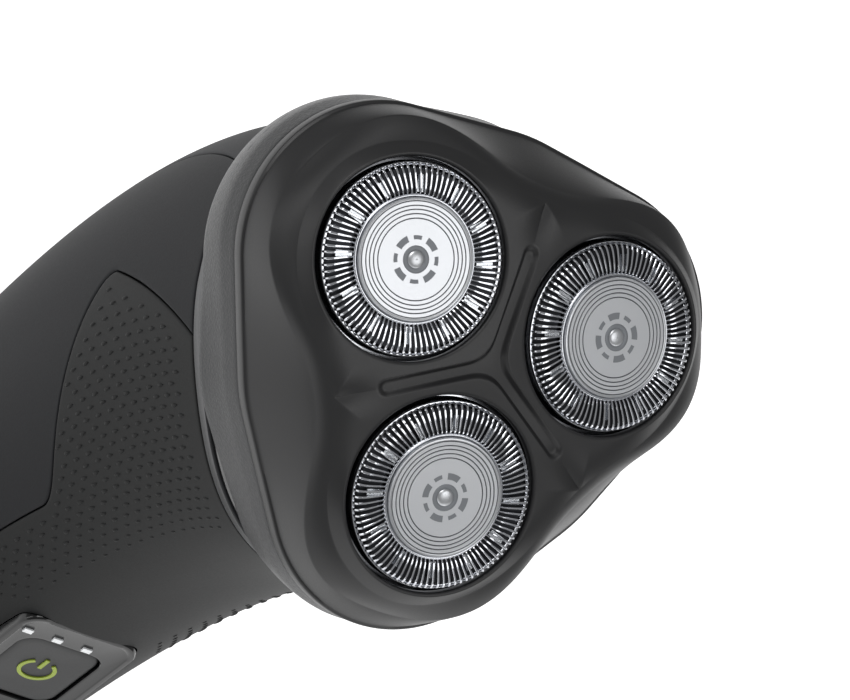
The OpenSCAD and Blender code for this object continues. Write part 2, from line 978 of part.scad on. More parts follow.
module spindle_left() {
    spindle(LEFT);
}
module spindle_right() {
    spindle(RIGHT);
}
module spindle_front() {
    spindle(FRONT);
}
module spindle_tip_left() {
    spindle_tip(LEFT);
}
module spindle_tip_right() {
    spindle_tip(RIGHT);
}
module spindle_tip_front() {
    spindle_tip(FRONT);
}
module spindle_spring_left() {
    spindle_spring(LEFT);
}
module spindle_spring_right() {
    spindle_spring(RIGHT);
}
module spindle_spring_front() {
    spindle_spring(FRONT);
}

// ---------- face cover, guards and cutters ----------

module leaning_disc(angle, radius, level) {
    rotate([0, 0, angle])
        translate([cutter_radius, 0, 0])
            rotate([0, cutter_lean, 0])
                translate([0, 0, level - SLAB])
                    cylinder(r = radius, h = SLAB, $fn = 48);
}

module head_cover() {
    wall_inset = 1;
    shoulder_level = -4.8;
    groove_reach = cutter_radius * 0.9;
    color("#343536")
        in_head()
            difference() {
                union() {
                    hull() {
                        for (angle = LOBES)
                            leaning_disc(angle, plateau_radius, -face_step);
                        face_slab(shoulder_level, wall_inset + 0.6);
                        face_slab(cover_rim + 0.5, wall_inset);
                    }
                    hull() {
                        face_slab(cover_rim, 0);
                        face_slab(cover_rim + 0.9, 0.1);
                    }
                }
                hull() {
                    for (angle = LOBES)
                        leaning_disc(angle, plateau_radius - 0.7, cover_underside);
                    face_slab(shoulder_level - 0.8, wall_inset + 0.6 + cover_wall);
                    face_slab(cover_rim - 0.1, wall_inset + cover_wall);
                }
                for (angle = [90, 210, 330])
                    hull() {
                        for (reach = [0, groove_reach])
                            rotate([0, 0, angle])
                                translate([reach, 0, groove_floor])
                                    cylinder(r = groove_width / 2, h = 3, $fn = HULL_FN);
                    }
                for (angle = LOBES)
                    hull()
                        leaning_opening(angle);
            }
}
centre_level = plateau_radius * sin(cutter_lean) - face_step * cos(cutter_lean);
groove_floor = centre_level - 0.7;

module leaning_opening(angle) {
    rotate([0, 0, angle])
        translate([cutter_radius, 0, 0])
            rotate([0, cutter_lean, 0])
                translate([0, 0, -5])
                    cylinder(r = opening_radius, h = 10, $fn = ROUND);
}

// Three joined rings under the guard holders, a middle sleeve for the lock and posts for the pivots
module retaining_frame() {
    ring_inner = holder_radius - 3;
    hub_radius = 4.6;
    sleeve_radius = 1.5;
    sleeve_top = centre_level - cover_wall - 0.6;
    color("#6a6d71")
        in_head()
            difference() {
                union() {
                    translate([0, 0, frame_bottom])
                        linear_extrude(frame_thickness)
                            difference() {
                                union() {
                                    circle(r = hub_radius, $fn = ROUND);
                                    for (angle = LOBES)
                                        rotate(angle)
                                            translate([cutter_radius - frame_lean, 0])
                                                circle(r = frame_ring_radius, $fn = ROUND);
                                }
                                for (angle = LOBES)
                                    rotate(angle)
                                        translate([cutter_radius - frame_lean, 0])
                                            circle(r = ring_inner, $fn = ROUND);
                            }
                    translate([0, 0, frame_bottom])
                        cylinder(r = sleeve_radius, h = sleeve_top - frame_bottom, $fn = ROUND);
                    for (angle = LOBES)
                        for (side = [-1, 1])
                            rotate([0, 0, angle])
                                pivot_post(side);
                }
                translate([0, 0, frame_bottom - EPS])
                    cylinder(r = lock_stem_radius + running_gap, h = 20, $fn = ROUND);
            }
}
frame_lean = -frame_bottom * sin(cutter_lean);
frame_ring_radius = cutter_spacing / 2 + 0.7;

module pivot_post(side) {
    width = 2 * (pivot_radius + running_gap + post_wall);
    near = holder_radius + 0.2;
    top = pivot_level + width / 2;
    translate([cutter_radius, 0, 0])
        rotate([0, cutter_lean, 0])
            difference() {
                translate([-width / 2, side > 0 ? near : -near - post_thickness, frame_bottom + 0.3])
                    cube([width, post_thickness, top - frame_bottom - 0.3]);
                translate([0, side * near - 2, pivot_level])
                    rotate([-90, 0, 0])
                        cylinder(r = pivot_radius + running_gap, h = 4, $fn = ROUND);
            }
}

module lock_knob() {
    stem_top = centre_level - cover_wall - 1;
    color("#c8523a")
        in_head()
            union() {
                translate([0, 0, frame_bottom - 1.3])
                    cylinder(r = lock_radius, h = 1.2, $fn = ROUND);
                translate([0, 0, frame_bottom - 1.2])
                    cylinder(r = lock_stem_radius, h = stem_top - frame_bottom + 1.2, $fn = ROUND);
                translate([-lock_radius + 0.8, -0.7, frame_bottom - 2.6])
                    cube([2 * lock_radius - 1.6, 1.4, 1.5]);
            }
}

module guard_holder(angle) {
    color("#6f7276")
        at_cutter(angle)
            difference() {
                union() {
                    translate([0, 0, holder_bottom])
                        cylinder(r = holder_radius, h = flange_top - holder_bottom, $fn = ROUND);
                    translate([0, 0, pivot_level])
                        rotate([90, 0, 0])
                            cylinder(r = pivot_radius, h = 2 * (holder_radius + pivot_length), center = true, $fn = ROUND);
                }
                translate([0, 0, holder_lip])
                    cylinder(r = flange_radius + running_gap, h = 10, $fn = ROUND);
                translate([0, 0, holder_bottom - 2])
                    cylinder(r = flange_radius - 0.8, h = 10, $fn = ROUND);
            }
}

// The thin steel guard: a rounded track with hair slots, an outer wall and a foot flange
module guard(angle) {
    round_edge = 0.9;
    inner_wall = guard_radius - track_wall;
    color("#d4d6da")
        at_cutter(angle)
            difference() {
                rotate_extrude($fn = ROUND)
                    difference() {
                        union() {
                            translate([0, -1])
                                square([guard_radius - round_edge, 1]);
                            translate([guard_radius - round_edge, -round_edge])
                                intersection() {
                                    circle(round_edge, $fn = HULL_FN);
                                    square(round_edge);
                                }
                            translate([0, flange_top - flange_thickness])
                                square([guard_radius, -flange_top + flange_thickness - round_edge]);
                            translate([0, flange_top - flange_thickness])
                                square([flange_radius, flange_thickness]);
                        }
                        translate([disc_radius, -round_edge - 5])
                            square([inner_wall - disc_radius, 5 + round_edge - track_wall - 0.35]);
                        translate([disc_radius, -2])
                            square([inner_wall - 0.6 - disc_radius, 2 - track_wall]);
                        translate([-1, -6])
                            square([disc_radius + 1.01, 5.2]);
                        translate([-1, -0.25])
                            square([disc_radius + 0.7, 1]);
                    }
                for (i = [0 : guard_slots - 1])
                    rotate([0, 0, 360 * i / guard_slots])
                        translate([disc_radius + 0.5, -0.15, -0.8])
                            cube([guard_radius - disc_radius - 1.3, 0.3, 2]);
            }
}

module guard_disc(angle) {
    color("#c9cbce")
        at_cutter(angle)
            translate([0, 0, -0.25])
                cylinder(r = disc_radius - 0.35, h = 0.4, $fn = ROUND);
}

module cutter(angle) {
    blade_top = -track_wall - 0.05;
    blade_root = -2.6;
    blade_outer = guard_radius - track_wall - 0.25;
    color("#c3c6cb")
        at_cutter(angle)
            difference() {
                union() {
                    translate([0, 0, blade_root - 0.6])
                        cylinder(r = blade_outer, h = 0.6, $fn = ROUND);
                    translate([0, 0, hub_bottom])
                        cylinder(r = hub_radius, h = -hub_bottom + blade_root, $fn = ROUND);
                    for (i = [0 : cutter_blades - 1])
                        rotate([0, 0, 360 * (i + 0.5) / cutter_blades])
                            translate([disc_radius + 0.25, -0.35, blade_root - 0.1])
                                cube([blade_outer - disc_radius - 0.95, 0.7, blade_top - blade_root + 0.1]);
                }
                translate([0, 0, hub_bottom - EPS])
                    cylinder(r = drive_socket_radius, h = socket_top - hub_bottom + EPS, $fn = 6);
            }
}

module guard_holder_left() {
    guard_holder(LEFT);
}
module guard_holder_right() {
    guard_holder(RIGHT);
}
module guard_holder_front() {
    guard_holder(FRONT);
}
module guard_left() {
    guard(LEFT);
}
module guard_right() {
    guard(RIGHT);
}
module guard_front() {
    guard(FRONT);
}
module guard_disc_left() {
    guard_disc(LEFT);
}
module guard_disc_right() {
    guard_disc(RIGHT);
}
module guard_disc_front() {
    guard_disc(FRONT);
}
module cutter_left() {
    cutter(LEFT);
}
module cutter_right() {
    cutter(RIGHT);
}
module cutter_front() {
    cutter(FRONT);
}

front_shell();
rear_shell();
side_panel_left();
side_panel_right();
neck_band();
neck_ring();
base_cap();
base_screws();
button_bezel();
power_button();
indicator_windows();
circuit_board();
tact_switch();
battery();
battery_contacts();
inner_frame();
frame_screws();
motor();
motor_plate();
motor_screws();
motor_leads();
motor_shaft();
drive_coupling();
shaft_seal();
charging_inlet();
inlet_pins();
hair_chamber();
gear_plate();
gearbox_cover();
gearbox_screws();
spindle_seals();
central_gear();
spindle_left();
spindle_right();
spindle_front();
spindle_tip_left();
spindle_tip_right();
spindle_tip_front();
spindle_spring_left();
spindle_spring_right();
spindle_spring_front();
head_cover();
retaining_frame();
lock_knob();
guard_holder_left();
guard_holder_right();
guard_holder_front();
guard_left();
guard_right();
guard_front();
guard_disc_left();
guard_disc_right();
guard_disc_front();
cutter_left();
cutter_right();
cutter_front();
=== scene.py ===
# %% [markdown]
# # An electric rotary shaver with three cutting units
#
# The shaver is a curved handle with a hair chamber and a three-lobed face on its neck.
# The CAD frame already holds every part in its place, so this script only gives the
# visible parts their real skins: moulded plastic shells, a soft-touch face, slotted
# steel guards and satin discs. All lengths are worked out in millimetres, in the frame's
# own axes, and are turned into metres where a mesh is made.

# %% Load the frame and keep the CAD box
import json
import math

import bmesh
import bpy
import numpy as np
from mathutils import Matrix, Vector


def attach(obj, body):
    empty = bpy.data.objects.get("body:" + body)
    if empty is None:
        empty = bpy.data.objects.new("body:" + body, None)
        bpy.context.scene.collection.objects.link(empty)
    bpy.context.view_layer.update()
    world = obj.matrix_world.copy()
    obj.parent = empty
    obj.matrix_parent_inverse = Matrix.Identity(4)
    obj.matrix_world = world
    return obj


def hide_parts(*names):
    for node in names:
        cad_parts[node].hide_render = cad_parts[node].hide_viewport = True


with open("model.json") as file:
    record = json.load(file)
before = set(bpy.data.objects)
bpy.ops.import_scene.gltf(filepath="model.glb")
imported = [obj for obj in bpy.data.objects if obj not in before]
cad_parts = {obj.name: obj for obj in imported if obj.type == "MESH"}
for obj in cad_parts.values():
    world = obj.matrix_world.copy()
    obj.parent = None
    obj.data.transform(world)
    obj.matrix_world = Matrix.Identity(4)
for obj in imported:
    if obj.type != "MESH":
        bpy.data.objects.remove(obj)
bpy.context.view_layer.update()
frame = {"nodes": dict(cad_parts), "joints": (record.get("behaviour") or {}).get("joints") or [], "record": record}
MM = 0.001
joints = {joint["name"]: joint for joint in frame["joints"]}

# %% [markdown]
# ## The face's own axes
#
# The three cutters sit on a face that leans 40 degrees back from the handle. It is easier
# to shape the face in its own axes: `a` to the right, `b` up the face and `c` out of it.
# The joints of the frame say where those axes are, so nothing is copied by hand.

# %% Axes of the face and of the three cutters
LOBES = {"left": 150, "right": 30, "front": 270}
PIVOT_DEPTH = 4.1
CUTTER_LEAN = 6


def unit(vector):
    vector = np.asarray(vector, float)
    return vector / np.linalg.norm(vector)


face_out = unit(joints["cover_lift"]["axis"])
face_right = np.array([1.0, 0.0, 0.0])
face_up = np.cross(face_out, face_right)
guard_centre = {}
guard_out = {}
for side in LOBES:
    axis = unit(joints[f"cutter_spin_{side}"]["axis"])
    guard_out[side] = axis if axis @ face_out > 0 else -axis
    pivot = np.array(joints[f"guard_tilt_{side}"]["pos_m"]) / MM
    guard_centre[side] = pivot + PIVOT_DEPTH * guard_out[side]
face_centre = sum(guard_centre.values()) / 3
CUTTER_RADIUS = float(np.linalg.norm(guard_centre["front"] - face_centre))


def from_face(points):
    points = np.asarray(points, float)
    axes = np.stack([face_right, face_up, face_out])
    return face_centre + points @ axes


def lobe_direction(side):
    angle = math.radians(LOBES[side])
    return np.array([math.cos(angle), math.sin(angle)])


def cutter_axes(side):
    along = lobe_direction(side)
    lean = math.radians(CUTTER_LEAN)
    x = np.array([*(along * math.cos(lean)), -math.sin(lean)])
    z = np.array([*(along * math.sin(lean)), math.cos(lean)])
    return np.stack([x, np.cross(z, x), z])


def cutter_to_face(side, points):
    origin = np.array([*(lobe_direction(side) * CUTTER_RADIUS), 0.0])
    return origin + np.asarray(points, float) @ cutter_axes(side)


print("face centre", face_centre.round(2), "cutter circle radius", round(CUTTER_RADIUS, 3))

# %% [markdown]
# ## Camera
#
# The view looks down on the face from its left, close to the axis of the cutters. It comes
# before anything else, because every later choice is judged from it. A long lens keeps the
# far lobe nearly as large as the near one, as on a product shot.

# %% Camera
CAMERA_REACH = 600.0
FOCAL_PIXELS = 5634.0
camera_right = unit([0.829, 0.341, 0.444])
camera_back = unit([-0.462, -0.031, 0.886])
camera_up = unit(np.cross(camera_back, camera_right))
camera_right = np.cross(camera_up, camera_back)
face_axes = np.stack([face_right, face_up, face_out])
spot = face_centre + (-7.26 * camera_right + 1.61 * camera_up + CAMERA_REACH * camera_back) @ face_axes
camera_data = bpy.data.cameras.new("studio_camera")
camera_data.sensor_width = 36.0
camera_data.lens = 36.0 * FOCAL_PIXELS / 850
camera_data.clip_start = 0.05
camera_data.clip_end = 20
camera = bpy.data.objects.new("studio_camera", camera_data)
bpy.context.scene.collection.objects.link(camera)
turn = np.stack([camera_right @ face_axes, camera_up @ face_axes, camera_back @ face_axes]).T
camera.matrix_world = Matrix.Translation(Vector(spot * MM)) @ Matrix(turn.tolist()).to_4x4()
bpy.context.scene.camera = camera
print("camera at", (spot * MM).round(3))

# %% [markdown]
# ## Small helpers for meshes
#
# Most skins here are lofts: rows of points joined into quads. One helper makes the quads,
# one turns points and faces into a finished piece that rides on its CAD body. Sharp edges
# are found by angle, so that a moulded edge stays crisp and the rest is shaded smooth.


# %% Mesh helpers
def quads(rows, columns, closed=False, wrapped=False, start=0):
    made = []
    last_row = rows if wrapped else rows - 1
    last_column = columns if closed else columns - 1
    for i in range(last_row):
        for k in range(last_column):
            a = start + i * columns + k
            b = start + i * columns + (k + 1) % columns
            c = start + ((i + 1) % rows) * columns + (k + 1) % columns
            d = start + ((i + 1) % rows) * columns + k
            made.append((a, b, c, d))
    return made


def new_object(name, mesh):
    made = bpy.data.objects.new(name, mesh)
    bpy.context.scene.collection.objects.link(made)
    return made


def build(name, points, faces, materials, crease=35, merge=2e-7, choose=None):
    mesh = bpy.data.meshes.new(name)
    mesh.from_pydata((np.asarray(points) * MM).tolist(), [], faces)
    for material in materials:
        mesh.materials.append(material)
    if choose is not None:
        mesh.polygons.foreach_set("material_index", np.asarray(choose, np.int32))
    work = bmesh.new()
    work.from_mesh(mesh)
    bmesh.ops.remove_doubles(work, verts=work.verts, dist=merge)
    bmesh.ops.recalc_face_normals(work, faces=work.faces)
    work.to_mesh(mesh)
    work.free()
    finish_shading(mesh, crease)
    return new_object(name, mesh)


def finish_shading(mesh, crease):
    mesh.shade_smooth()
    mesh.set_sharp_from_angle(angle=math.radians(crease))


def seat(made, body, nodes=()):
    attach(made, body)
    if nodes:
        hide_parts(*nodes)
    triangles = sum(len(p.vertices) - 2 for p in made.data.polygons)
    print(made.name, "rides on", body, "with", triangles, "triangles")
    return made


def ring_shell(name, loops, materials, crease=35):
    loops = np.asarray(loops)
    faces = quads(len(loops), loops.shape[1], closed=True, wrapped=True)
    return build(name, loops.reshape(-1, 3), faces, materials, crease)


def turned(profile, steps):
    angles = np.linspace(0, 2 * math.pi, steps, endpoint=False)
    return np.array([[[r * math.cos(a), r * math.sin(a), z] for a in angles] for r, z in profile])


# %% [markdown]
# ## Helpers for materials
#
# Each finish is built from nodes on object coordinates, which are metres in the frame's
# axes, so a pattern's scale follows from its real size: a grain of 0.3 mm needs a scale of
# one over 0.0003. Colours are written as sRGB hex values and turned to linear in one place.


# %% Material helpers
def linear(code):
    values = [int(code[i : i + 2], 16) / 255 for i in (1, 3, 5)]
    return tuple(v / 12.92 if v <= 0.04045 else ((v + 0.055) / 1.055) ** 2.4 for v in values) + (1.0,)


def add(tree, kind, links=None, **settings):
    made = tree.nodes.new(kind)
    for name, value in settings.items():
        if name.startswith("in_"):
            key = name[3:].replace("_", " ")
            socket = made.inputs[int(key)] if key.isdigit() else made.inputs[key]
            socket.default_value = value
        else:
            setattr(made, name, value)
    for socket, source in (links or {}).items():
        tree.links.new(source, made.inputs[socket])
    return made


def finish(
    name, colour, rough, metallic=0.0, grain=0.3, bump=0.02, tone=0.12, rough_spread=0.06, **sockets
):
    """A surface with its own grain: colour, roughness and height all vary at real sizes in mm."""
    material = bpy.data.materials.new(name)
    material.use_nodes = True
    tree = material.node_tree
    tree.nodes.clear()
    place = add(tree, "ShaderNodeTexCoord").outputs["Object"]
    fine = add(tree, "ShaderNodeTexNoise", {"Vector": place}, in_Scale=1 / (grain * MM), in_Detail=3.0)
    broad = add(tree, "ShaderNodeTexNoise", {"Vector": place}, in_Scale=1 / (14 * MM), in_Detail=2.0)
    both = add(tree, "ShaderNodeMix", {0: fine.outputs["Fac"]}, data_type="FLOAT")
    tree.links.new(broad.outputs["Fac"], both.inputs[2])
    both.inputs[3].default_value = 0.5
    base = np.array(linear(colour))
    dark, pale = base * (1 - tone), base * (1 + tone)
    shade = add(tree, "ShaderNodeMix", {0: both.outputs[0]}, data_type="RGBA")
    shade.inputs[6].default_value = (*dark[:3], 1)
    shade.inputs[7].default_value = (*np.minimum(pale[:3], 1), 1)
    rough_map = add(
        tree,
        "ShaderNodeMapRange",
        {"Value": fine.outputs["Fac"]},
        in_To_Min=max(rough - rough_spread, 0.02),
        in_To_Max=min(rough + rough_spread, 1.0),
    )
    grain_height = {"Height": fine.outputs["Fac"]}
    height = add(tree, "ShaderNodeBump", grain_height, in_Strength=1.0, in_Distance=bump * MM)
    shader = add(
        tree,
        "ShaderNodeBsdfPrincipled",
        {
            "Base Color": shade.outputs[2],
            "Roughness": rough_map.outputs["Result"],
            "Normal": height.outputs["Normal"],
        },
        in_Metallic=metallic,
    )
    for socket, value in sockets.items():
        shader.inputs[socket.replace("_", " ")].default_value = value
    add(tree, "ShaderNodeOutputMaterial", {"Surface": shader.outputs["BSDF"]})
    return material


# %% [markdown]
# ## Finishes
#
# The handle and the face are ABS mouldings. A fine spark-eroded texture on the mould gives
# them a matte skin that scatters light but still brightens towards grazing angles. The
# guards are drawn and polished stainless steel, and the discs on them are bead-blasted.

# %% Plastics
matte_face = finish("satin_abs_face", "#1b1b1c", 0.43, grain=0.22, bump=0.006, tone=0.08)
collar_abs = finish(
    "spark_eroded_abs_collar", "#1b1c1e", 0.4,
    grain=0.32, bump=0.045, tone=0.35, rough_spread=0.12, Specular_IOR_Level=0.4,
)
side_abs = finish("fine_grained_abs_side", "#131417", 0.6, grain=0.25, bump=0.008, Specular_IOR_Level=0.14)
rear_abs = finish("soft_touch_rear", "#1f2023", 0.62, grain=0.25, bump=0.012, Specular_IOR_Level=0.18)
front_abs = finish("satin_abs_front", "#0f1010", 0.55, grain=0.25, bump=0.007, Specular_IOR_Level=0.14)
band_abs = finish("satin_abs_neck_band", "#1d1e21", 0.4, grain=0.25, bump=0.008)
gloss_abs = finish("polished_abs_black", "#0a0a0b", 0.16, grain=0.5, bump=0.002, rough_spread=0.03)
button_skin = finish("soft_touch_button", "#191a1b", 0.5, grain=0.2, bump=0.01)
button_mark = finish("pad_printed_green", "#93a62f", 0.45, grain=0.12, bump=0.004)
window_white = finish("opal_light_pipe", "#f2f4f6", 0.35, grain=0.3, bump=0.002, tone=0.03)
print("plastics ready")

# %% Metals
guard_steel = finish(
    "polished_stainless_steel", "#c9cbd0", 0.13,
    metallic=1.0, grain=0.15, bump=0.004, tone=0.06, rough_spread=0.05,
)
disc_satin = finish(
    "bead_blasted_steel", "#c3c5c8", 0.36, metallic=1.0, grain=0.09, bump=0.006, tone=0.1, rough_spread=0.08
)
# Darker grey for the floors of the disc grooves: painted shade, standing in for the darkness light gives a groove.
groove_shade = finish("painted_shade_in_grooves", "#55575b", 0.5, metallic=0.6, grain=0.1, bump=0.004)
etched_grey = finish("laser_etched_steel", "#7d8084", 0.55, metallic=0.5, grain=0.08, bump=0.004)
# Near-black steel for the ring under the bars: its dark colour is painted shade for the hollow and the cutter
# below the slots.
painted_slot_shade = finish("painted_shade_under_slots", "#2c2d30", 0.42, metallic=1.0, grain=0.1, bump=0.004)
print("metals ready")

# %% [markdown]
# ## Face outline
#
# Seen from the front the face is a soft triangle: three circles round the cutters, joined by
# sides that bow out a little. A convex outline like this is the hull of circles, and its
# radius in any direction follows from the hull's support lines. An inset only makes the
# circles smaller, so the rim, the collar and the neck ring keep the same shape.

# %% Outline of the face
RIM_RADIUS = 16.0
RIM_BOW = 1.4
OUTLINE_CIRCLES = [(angle, CUTTER_RADIUS, RIM_RADIUS) for angle in LOBES.values()]
OUTLINE_CIRCLES += [(angle, CUTTER_RADIUS / 2 - 5, RIM_RADIUS + 5 + RIM_BOW) for angle in (90, 210, 330)]
SUPPORT_ANGLES = np.radians(np.arange(0, 360, 0.5))
support = np.max(
    [
        reach * np.cos(SUPPORT_ANGLES - math.radians(angle)) + radius
        for angle, reach, radius in OUTLINE_CIRCLES
    ],
    axis=0,
)


def outline_radius(angles, inset=0.0):
    facing = np.cos(SUPPORT_ANGLES[None, :] - np.asarray(angles)[:, None])
    reach = np.where(facing > 0.05, (support - inset) / np.maximum(facing, 0.05), 1e9)
    return reach.min(axis=1)


print("face reaches", outline_radius(np.radians([30, 90, 210, 270])).round(2), "mm from its centre")

# %% [markdown]
# ## Height of the face
#
# The plateau is three planes that each lean outwards by the same 6 degrees as their cutter,
# blended into one another. Two soft lines run round the face: the plateau falls away to the
# first, a pale band slopes between the two, and the wall drops from the second to the rim.
# Both lines repeat three times round the face, so each is a short cosine series. A Y-shaped
# channel divides the plateau into three petals with rounded corners.

# %% Height of the face
PLATEAU_DROP = 1.2
LEAN = math.tan(math.radians(CUTTER_LEAN))
CHANNEL_REACH = 12.4
CHANNEL_DEPTH = 0.75
INNER_RADIUS = {0: 27.3, 15: 26.1, 28: 23.6, 40: 20.7, 50: 18.9, 60: 18.3}
INNER_LEVEL = {0: -3.9, 15: -3.7, 28: -2.9, 40: -1.9, 50: -1.5, 60: -1.35}
OUTER_RADIUS = {0: 28.9, 12: 28.8, 24: 27.2, 32: 25.1, 40: 22.6, 50: 20.6, 60: 20.0}
OUTER_LEVEL = {0: -6.6, 12: -6.1, 24: -4.8, 32: -4.0, 40: -3.3, 50: -2.8, 60: -2.6}
lobe_vectors = np.array([lobe_direction(side) for side in LOBES])
channel_vectors = np.array([[math.cos(math.radians(a)), math.sin(math.radians(a))] for a in (90, 210, 330)])


def three_fold(sizes, terms=5):
    """A smooth function of the direction that meets these sizes, given by degrees away from a lobe."""
    away = np.radians(3 * np.array(list(sizes)))
    wanted = np.array(list(sizes.values()))
    waves = np.cos(away[:, None] * np.arange(terms))
    weights = np.linalg.lstsq(waves, wanted, rcond=None)[0]
    first_lobe = math.radians(LOBES["right"])

    def size(angles):
        away = (np.asarray(angles) - first_lobe)[..., None]
        return np.cos(3 * away * np.arange(terms)) @ weights

    return size


inner_radius = three_fold(INNER_RADIUS)
inner_level = three_fold(INNER_LEVEL)
outer_radius = three_fold(OUTER_RADIUS)
outer_level = three_fold(OUTER_LEVEL)


def ease(low, high, value):
    t = np.clip((np.asarray(value) - low) / (high - low), 0, 1)
    return t * t * (3 - 2 * t)


def soft_least(values, blend):
    return -blend * np.log(np.exp(-np.asarray(values) / blend).sum(axis=0))


def plateau(p):
    planes = [-PLATEAU_DROP - LEAN * (p @ v - CUTTER_RADIUS) for v in lobe_vectors]
    return soft_least(planes, 0.12)


def channel(p):
    away = []
    for v in channel_vectors:
        along = np.clip(p @ v, 0, CHANNEL_REACH)
        away.append(np.hypot(*(p - along[:, None] * v).T))
    near = soft_least(away, 0.55)
    depth = CHANNEL_DEPTH - 0.3 * ease(3, CHANNEL_REACH, np.hypot(*p.T))
    return depth * (1 - ease(0.42, 1.02, near))


print("height at the middle", plateau(np.array([[0.01, 0.0]])).round(3))

# %% [markdown]
# ## The face cover
#
# The face is one moulding: a matte shell with three round openings. A polar grid round each
# opening fits it better than a boolean cut would, because the mesh then runs along the
# opening, along the channel and along the contour, and the shading has no stray facets.
# Each third is a fan of rays from its opening to the channel lines and the contour.

# %% Contour line and rays of one third
OPENING = 10.9
LIP = 0.4
UNDER = 1.3
RAY_RINGS = 50
ALONG_CHANNEL = 66
ALONG_CONTOUR = 104


def third_boundary(side):
    first = math.radians(LOBES[side] - 60)
    last = math.radians(LOBES[side] + 60)
    arc_angles = np.linspace(first, last, ALONG_CONTOUR + 1)
    arc = inner_radius(arc_angles)[:, None] * np.stack([np.cos(arc_angles), np.sin(arc_angles)], axis=1)
    share = np.linspace(0, 1, ALONG_CHANNEL, endpoint=False)[:, None]
    return np.concatenate([share * arc[0], arc, (arc[-1] * (1 - share))[1:]])


def opening_ring(side, boundary, radius, level):
    middle = lobe_direction(side) * CUTTER_RADIUS
    outward = boundary - middle
    turn_back = math.radians(LOBES[side])
    angles = np.arctan2(outward[:, 1], outward[:, 0]) - turn_back
    local = np.column_stack([radius * np.cos(angles), radius * np.sin(angles), np.full(len(angles), level)])
    return cutter_to_face(side, local)


# %% Top, lip and underside of one third
def third(side):
    boundary = third_boundary(side)
    lip = [
        (OPENING + LIP, -PLATEAU_DROP),
        (OPENING + 0.2, -PLATEAU_DROP - 0.03),
        (OPENING + 0.07, -PLATEAU_DROP - 0.12),
        (OPENING, -PLATEAU_DROP - 0.3),
        (OPENING, -PLATEAU_DROP - 1.15),
        (OPENING + 0.1, -PLATEAU_DROP - 1.25),
        (OPENING + 0.6, -PLATEAU_DROP - 1.25),
    ]
    rings = [opening_ring(side, boundary, radius, level) for radius, level in lip]
    shares = 1 - (1 - np.linspace(0, 1, RAY_RINGS + 1)[1:]) ** 1.5
    start = rings[0][:, :2]
    angles = np.arctan2(boundary[:, 1], boundary[:, 0])
    along = np.hypot(*boundary.T) / inner_radius(math.radians(LOBES[side] + 60))
    on_contour = slice(ALONG_CHANNEL, ALONG_CHANNEL + ALONG_CONTOUR + 1)
    waist_drop = float((plateau(boundary[on_contour][:1]) - inner_level(angles[on_contour][:1]))[0])
    drop = waist_drop * ease(0.62, 1.0, along)
    drop[on_contour] = (plateau(boundary) - inner_level(angles))[on_contour]
    reach = np.hypot(*(boundary - start).T)
    power = np.clip(reach / 1.6, 1.1, 3.5)
    above = []
    for share in shares:
        p = start + share * (boundary - start)
        above.append(np.column_stack([p, plateau(p) - channel(p) - drop * share**power]))
    edge = boundary.copy()
    edge[on_contour] *= 1 - 0.6 / np.hypot(*boundary[on_contour].T)[:, None]
    below = []
    for share in np.linspace(0, 1, 9)[1:]:
        p = rings[-1][:, :2] + share * (edge - rings[-1][:, :2])
        below.append(np.column_stack([p, plateau(p) - UNDER - drop * share**power]))
    rows = above[::-1] + rings + below
    return above[-1][on_contour], below[-1][on_contour], rows


# %% The wall and rim, from the contour down and back up inside
WALL_FOOT = -9.5
RIM_BOTTOM = -11.2


def wall_rows(top_line, under_line):
    angles = np.arctan2(top_line[:, 1], top_line[:, 0])
    outward = np.stack([np.cos(angles), np.sin(angles)], axis=1)
    start, top = np.hypot(*top_line[:, :2].T), top_line[:, 2]
    ledge, ledge_level = outer_radius(angles), outer_level(angles)
    rim = outline_radius(angles)
    outer = []
    for t in (0.0, 0.06, 0.16, 0.3, 0.5, 0.7, 0.84, 0.94, 1.0):
        arch = 0.12 * math.sin(math.pi * t)
        outer.append((start + (ledge - start) * t + arch, top + (ledge_level - top) * t + arch))
    width = rim - 0.34 - ledge
    fall = ledge_level - WALL_FOOT
    controls = [(0, 0), (0.3 * width, -0.2 * fall), (width - 0.32 * width, -0.62 * fall), (width, -fall)]
    for t in np.linspace(0, 1, 22)[1:]:
        weights = [(1 - t) ** 3, 3 * t * (1 - t) ** 2, 3 * t * t * (1 - t), t**3]
        out = sum(w * c[0] for w, c in zip(weights, controls))
        down = sum(w * c[1] for w, c in zip(weights, controls))
        outer.append((ledge + out, ledge_level + down))
    rim_steps = [(0.16, -0.06), (0.05, -0.14), (0.0, -0.3), (0.0, -1.52)]
    rim_steps += [(0.06, -1.66), (0.2, -1.7), (1.5, -1.7)]
    outer += [(rim - inset, np.full(len(rim), WALL_FOOT + level)) for inset, level in rim_steps]
    inner_start, inner_top = np.hypot(*under_line[:, :2].T), under_line[:, 2]
    foot = rim - 1.7
    for t in np.linspace(1, 0, 10):
        shift = ease(0, 1, t)
        reach = inner_start + (foot - inner_start) * t**0.8
        outer.append((reach, inner_top + (RIM_BOTTOM + 0.5 - inner_top) * shift))
    return [np.column_stack([outward * reach[:, None], level]) for reach, level in outer]


# %% Build the cover
points = []
faces = []
edges = []
for side in LOBES:
    on_contour, on_edge, rows = third(side)
    faces += quads(len(rows), len(rows[0]), closed=True, start=sum(len(p) for p in points))
    points += rows
    edges.append((LOBES[side], on_contour[:-1], on_edge[:-1]))
edges.sort(key=lambda item: item[0])
wall = wall_rows(np.concatenate([item[1] for item in edges]), np.concatenate([item[2] for item in edges]))
faces += quads(len(wall), len(wall[0]), closed=True, start=sum(len(p) for p in points))
points += wall
cover = build("face_cover", from_face(np.concatenate(points)), faces, [matte_face], crease=50, merge=4e-6)
seat(cover, "cover_unit", ["head_cover"])

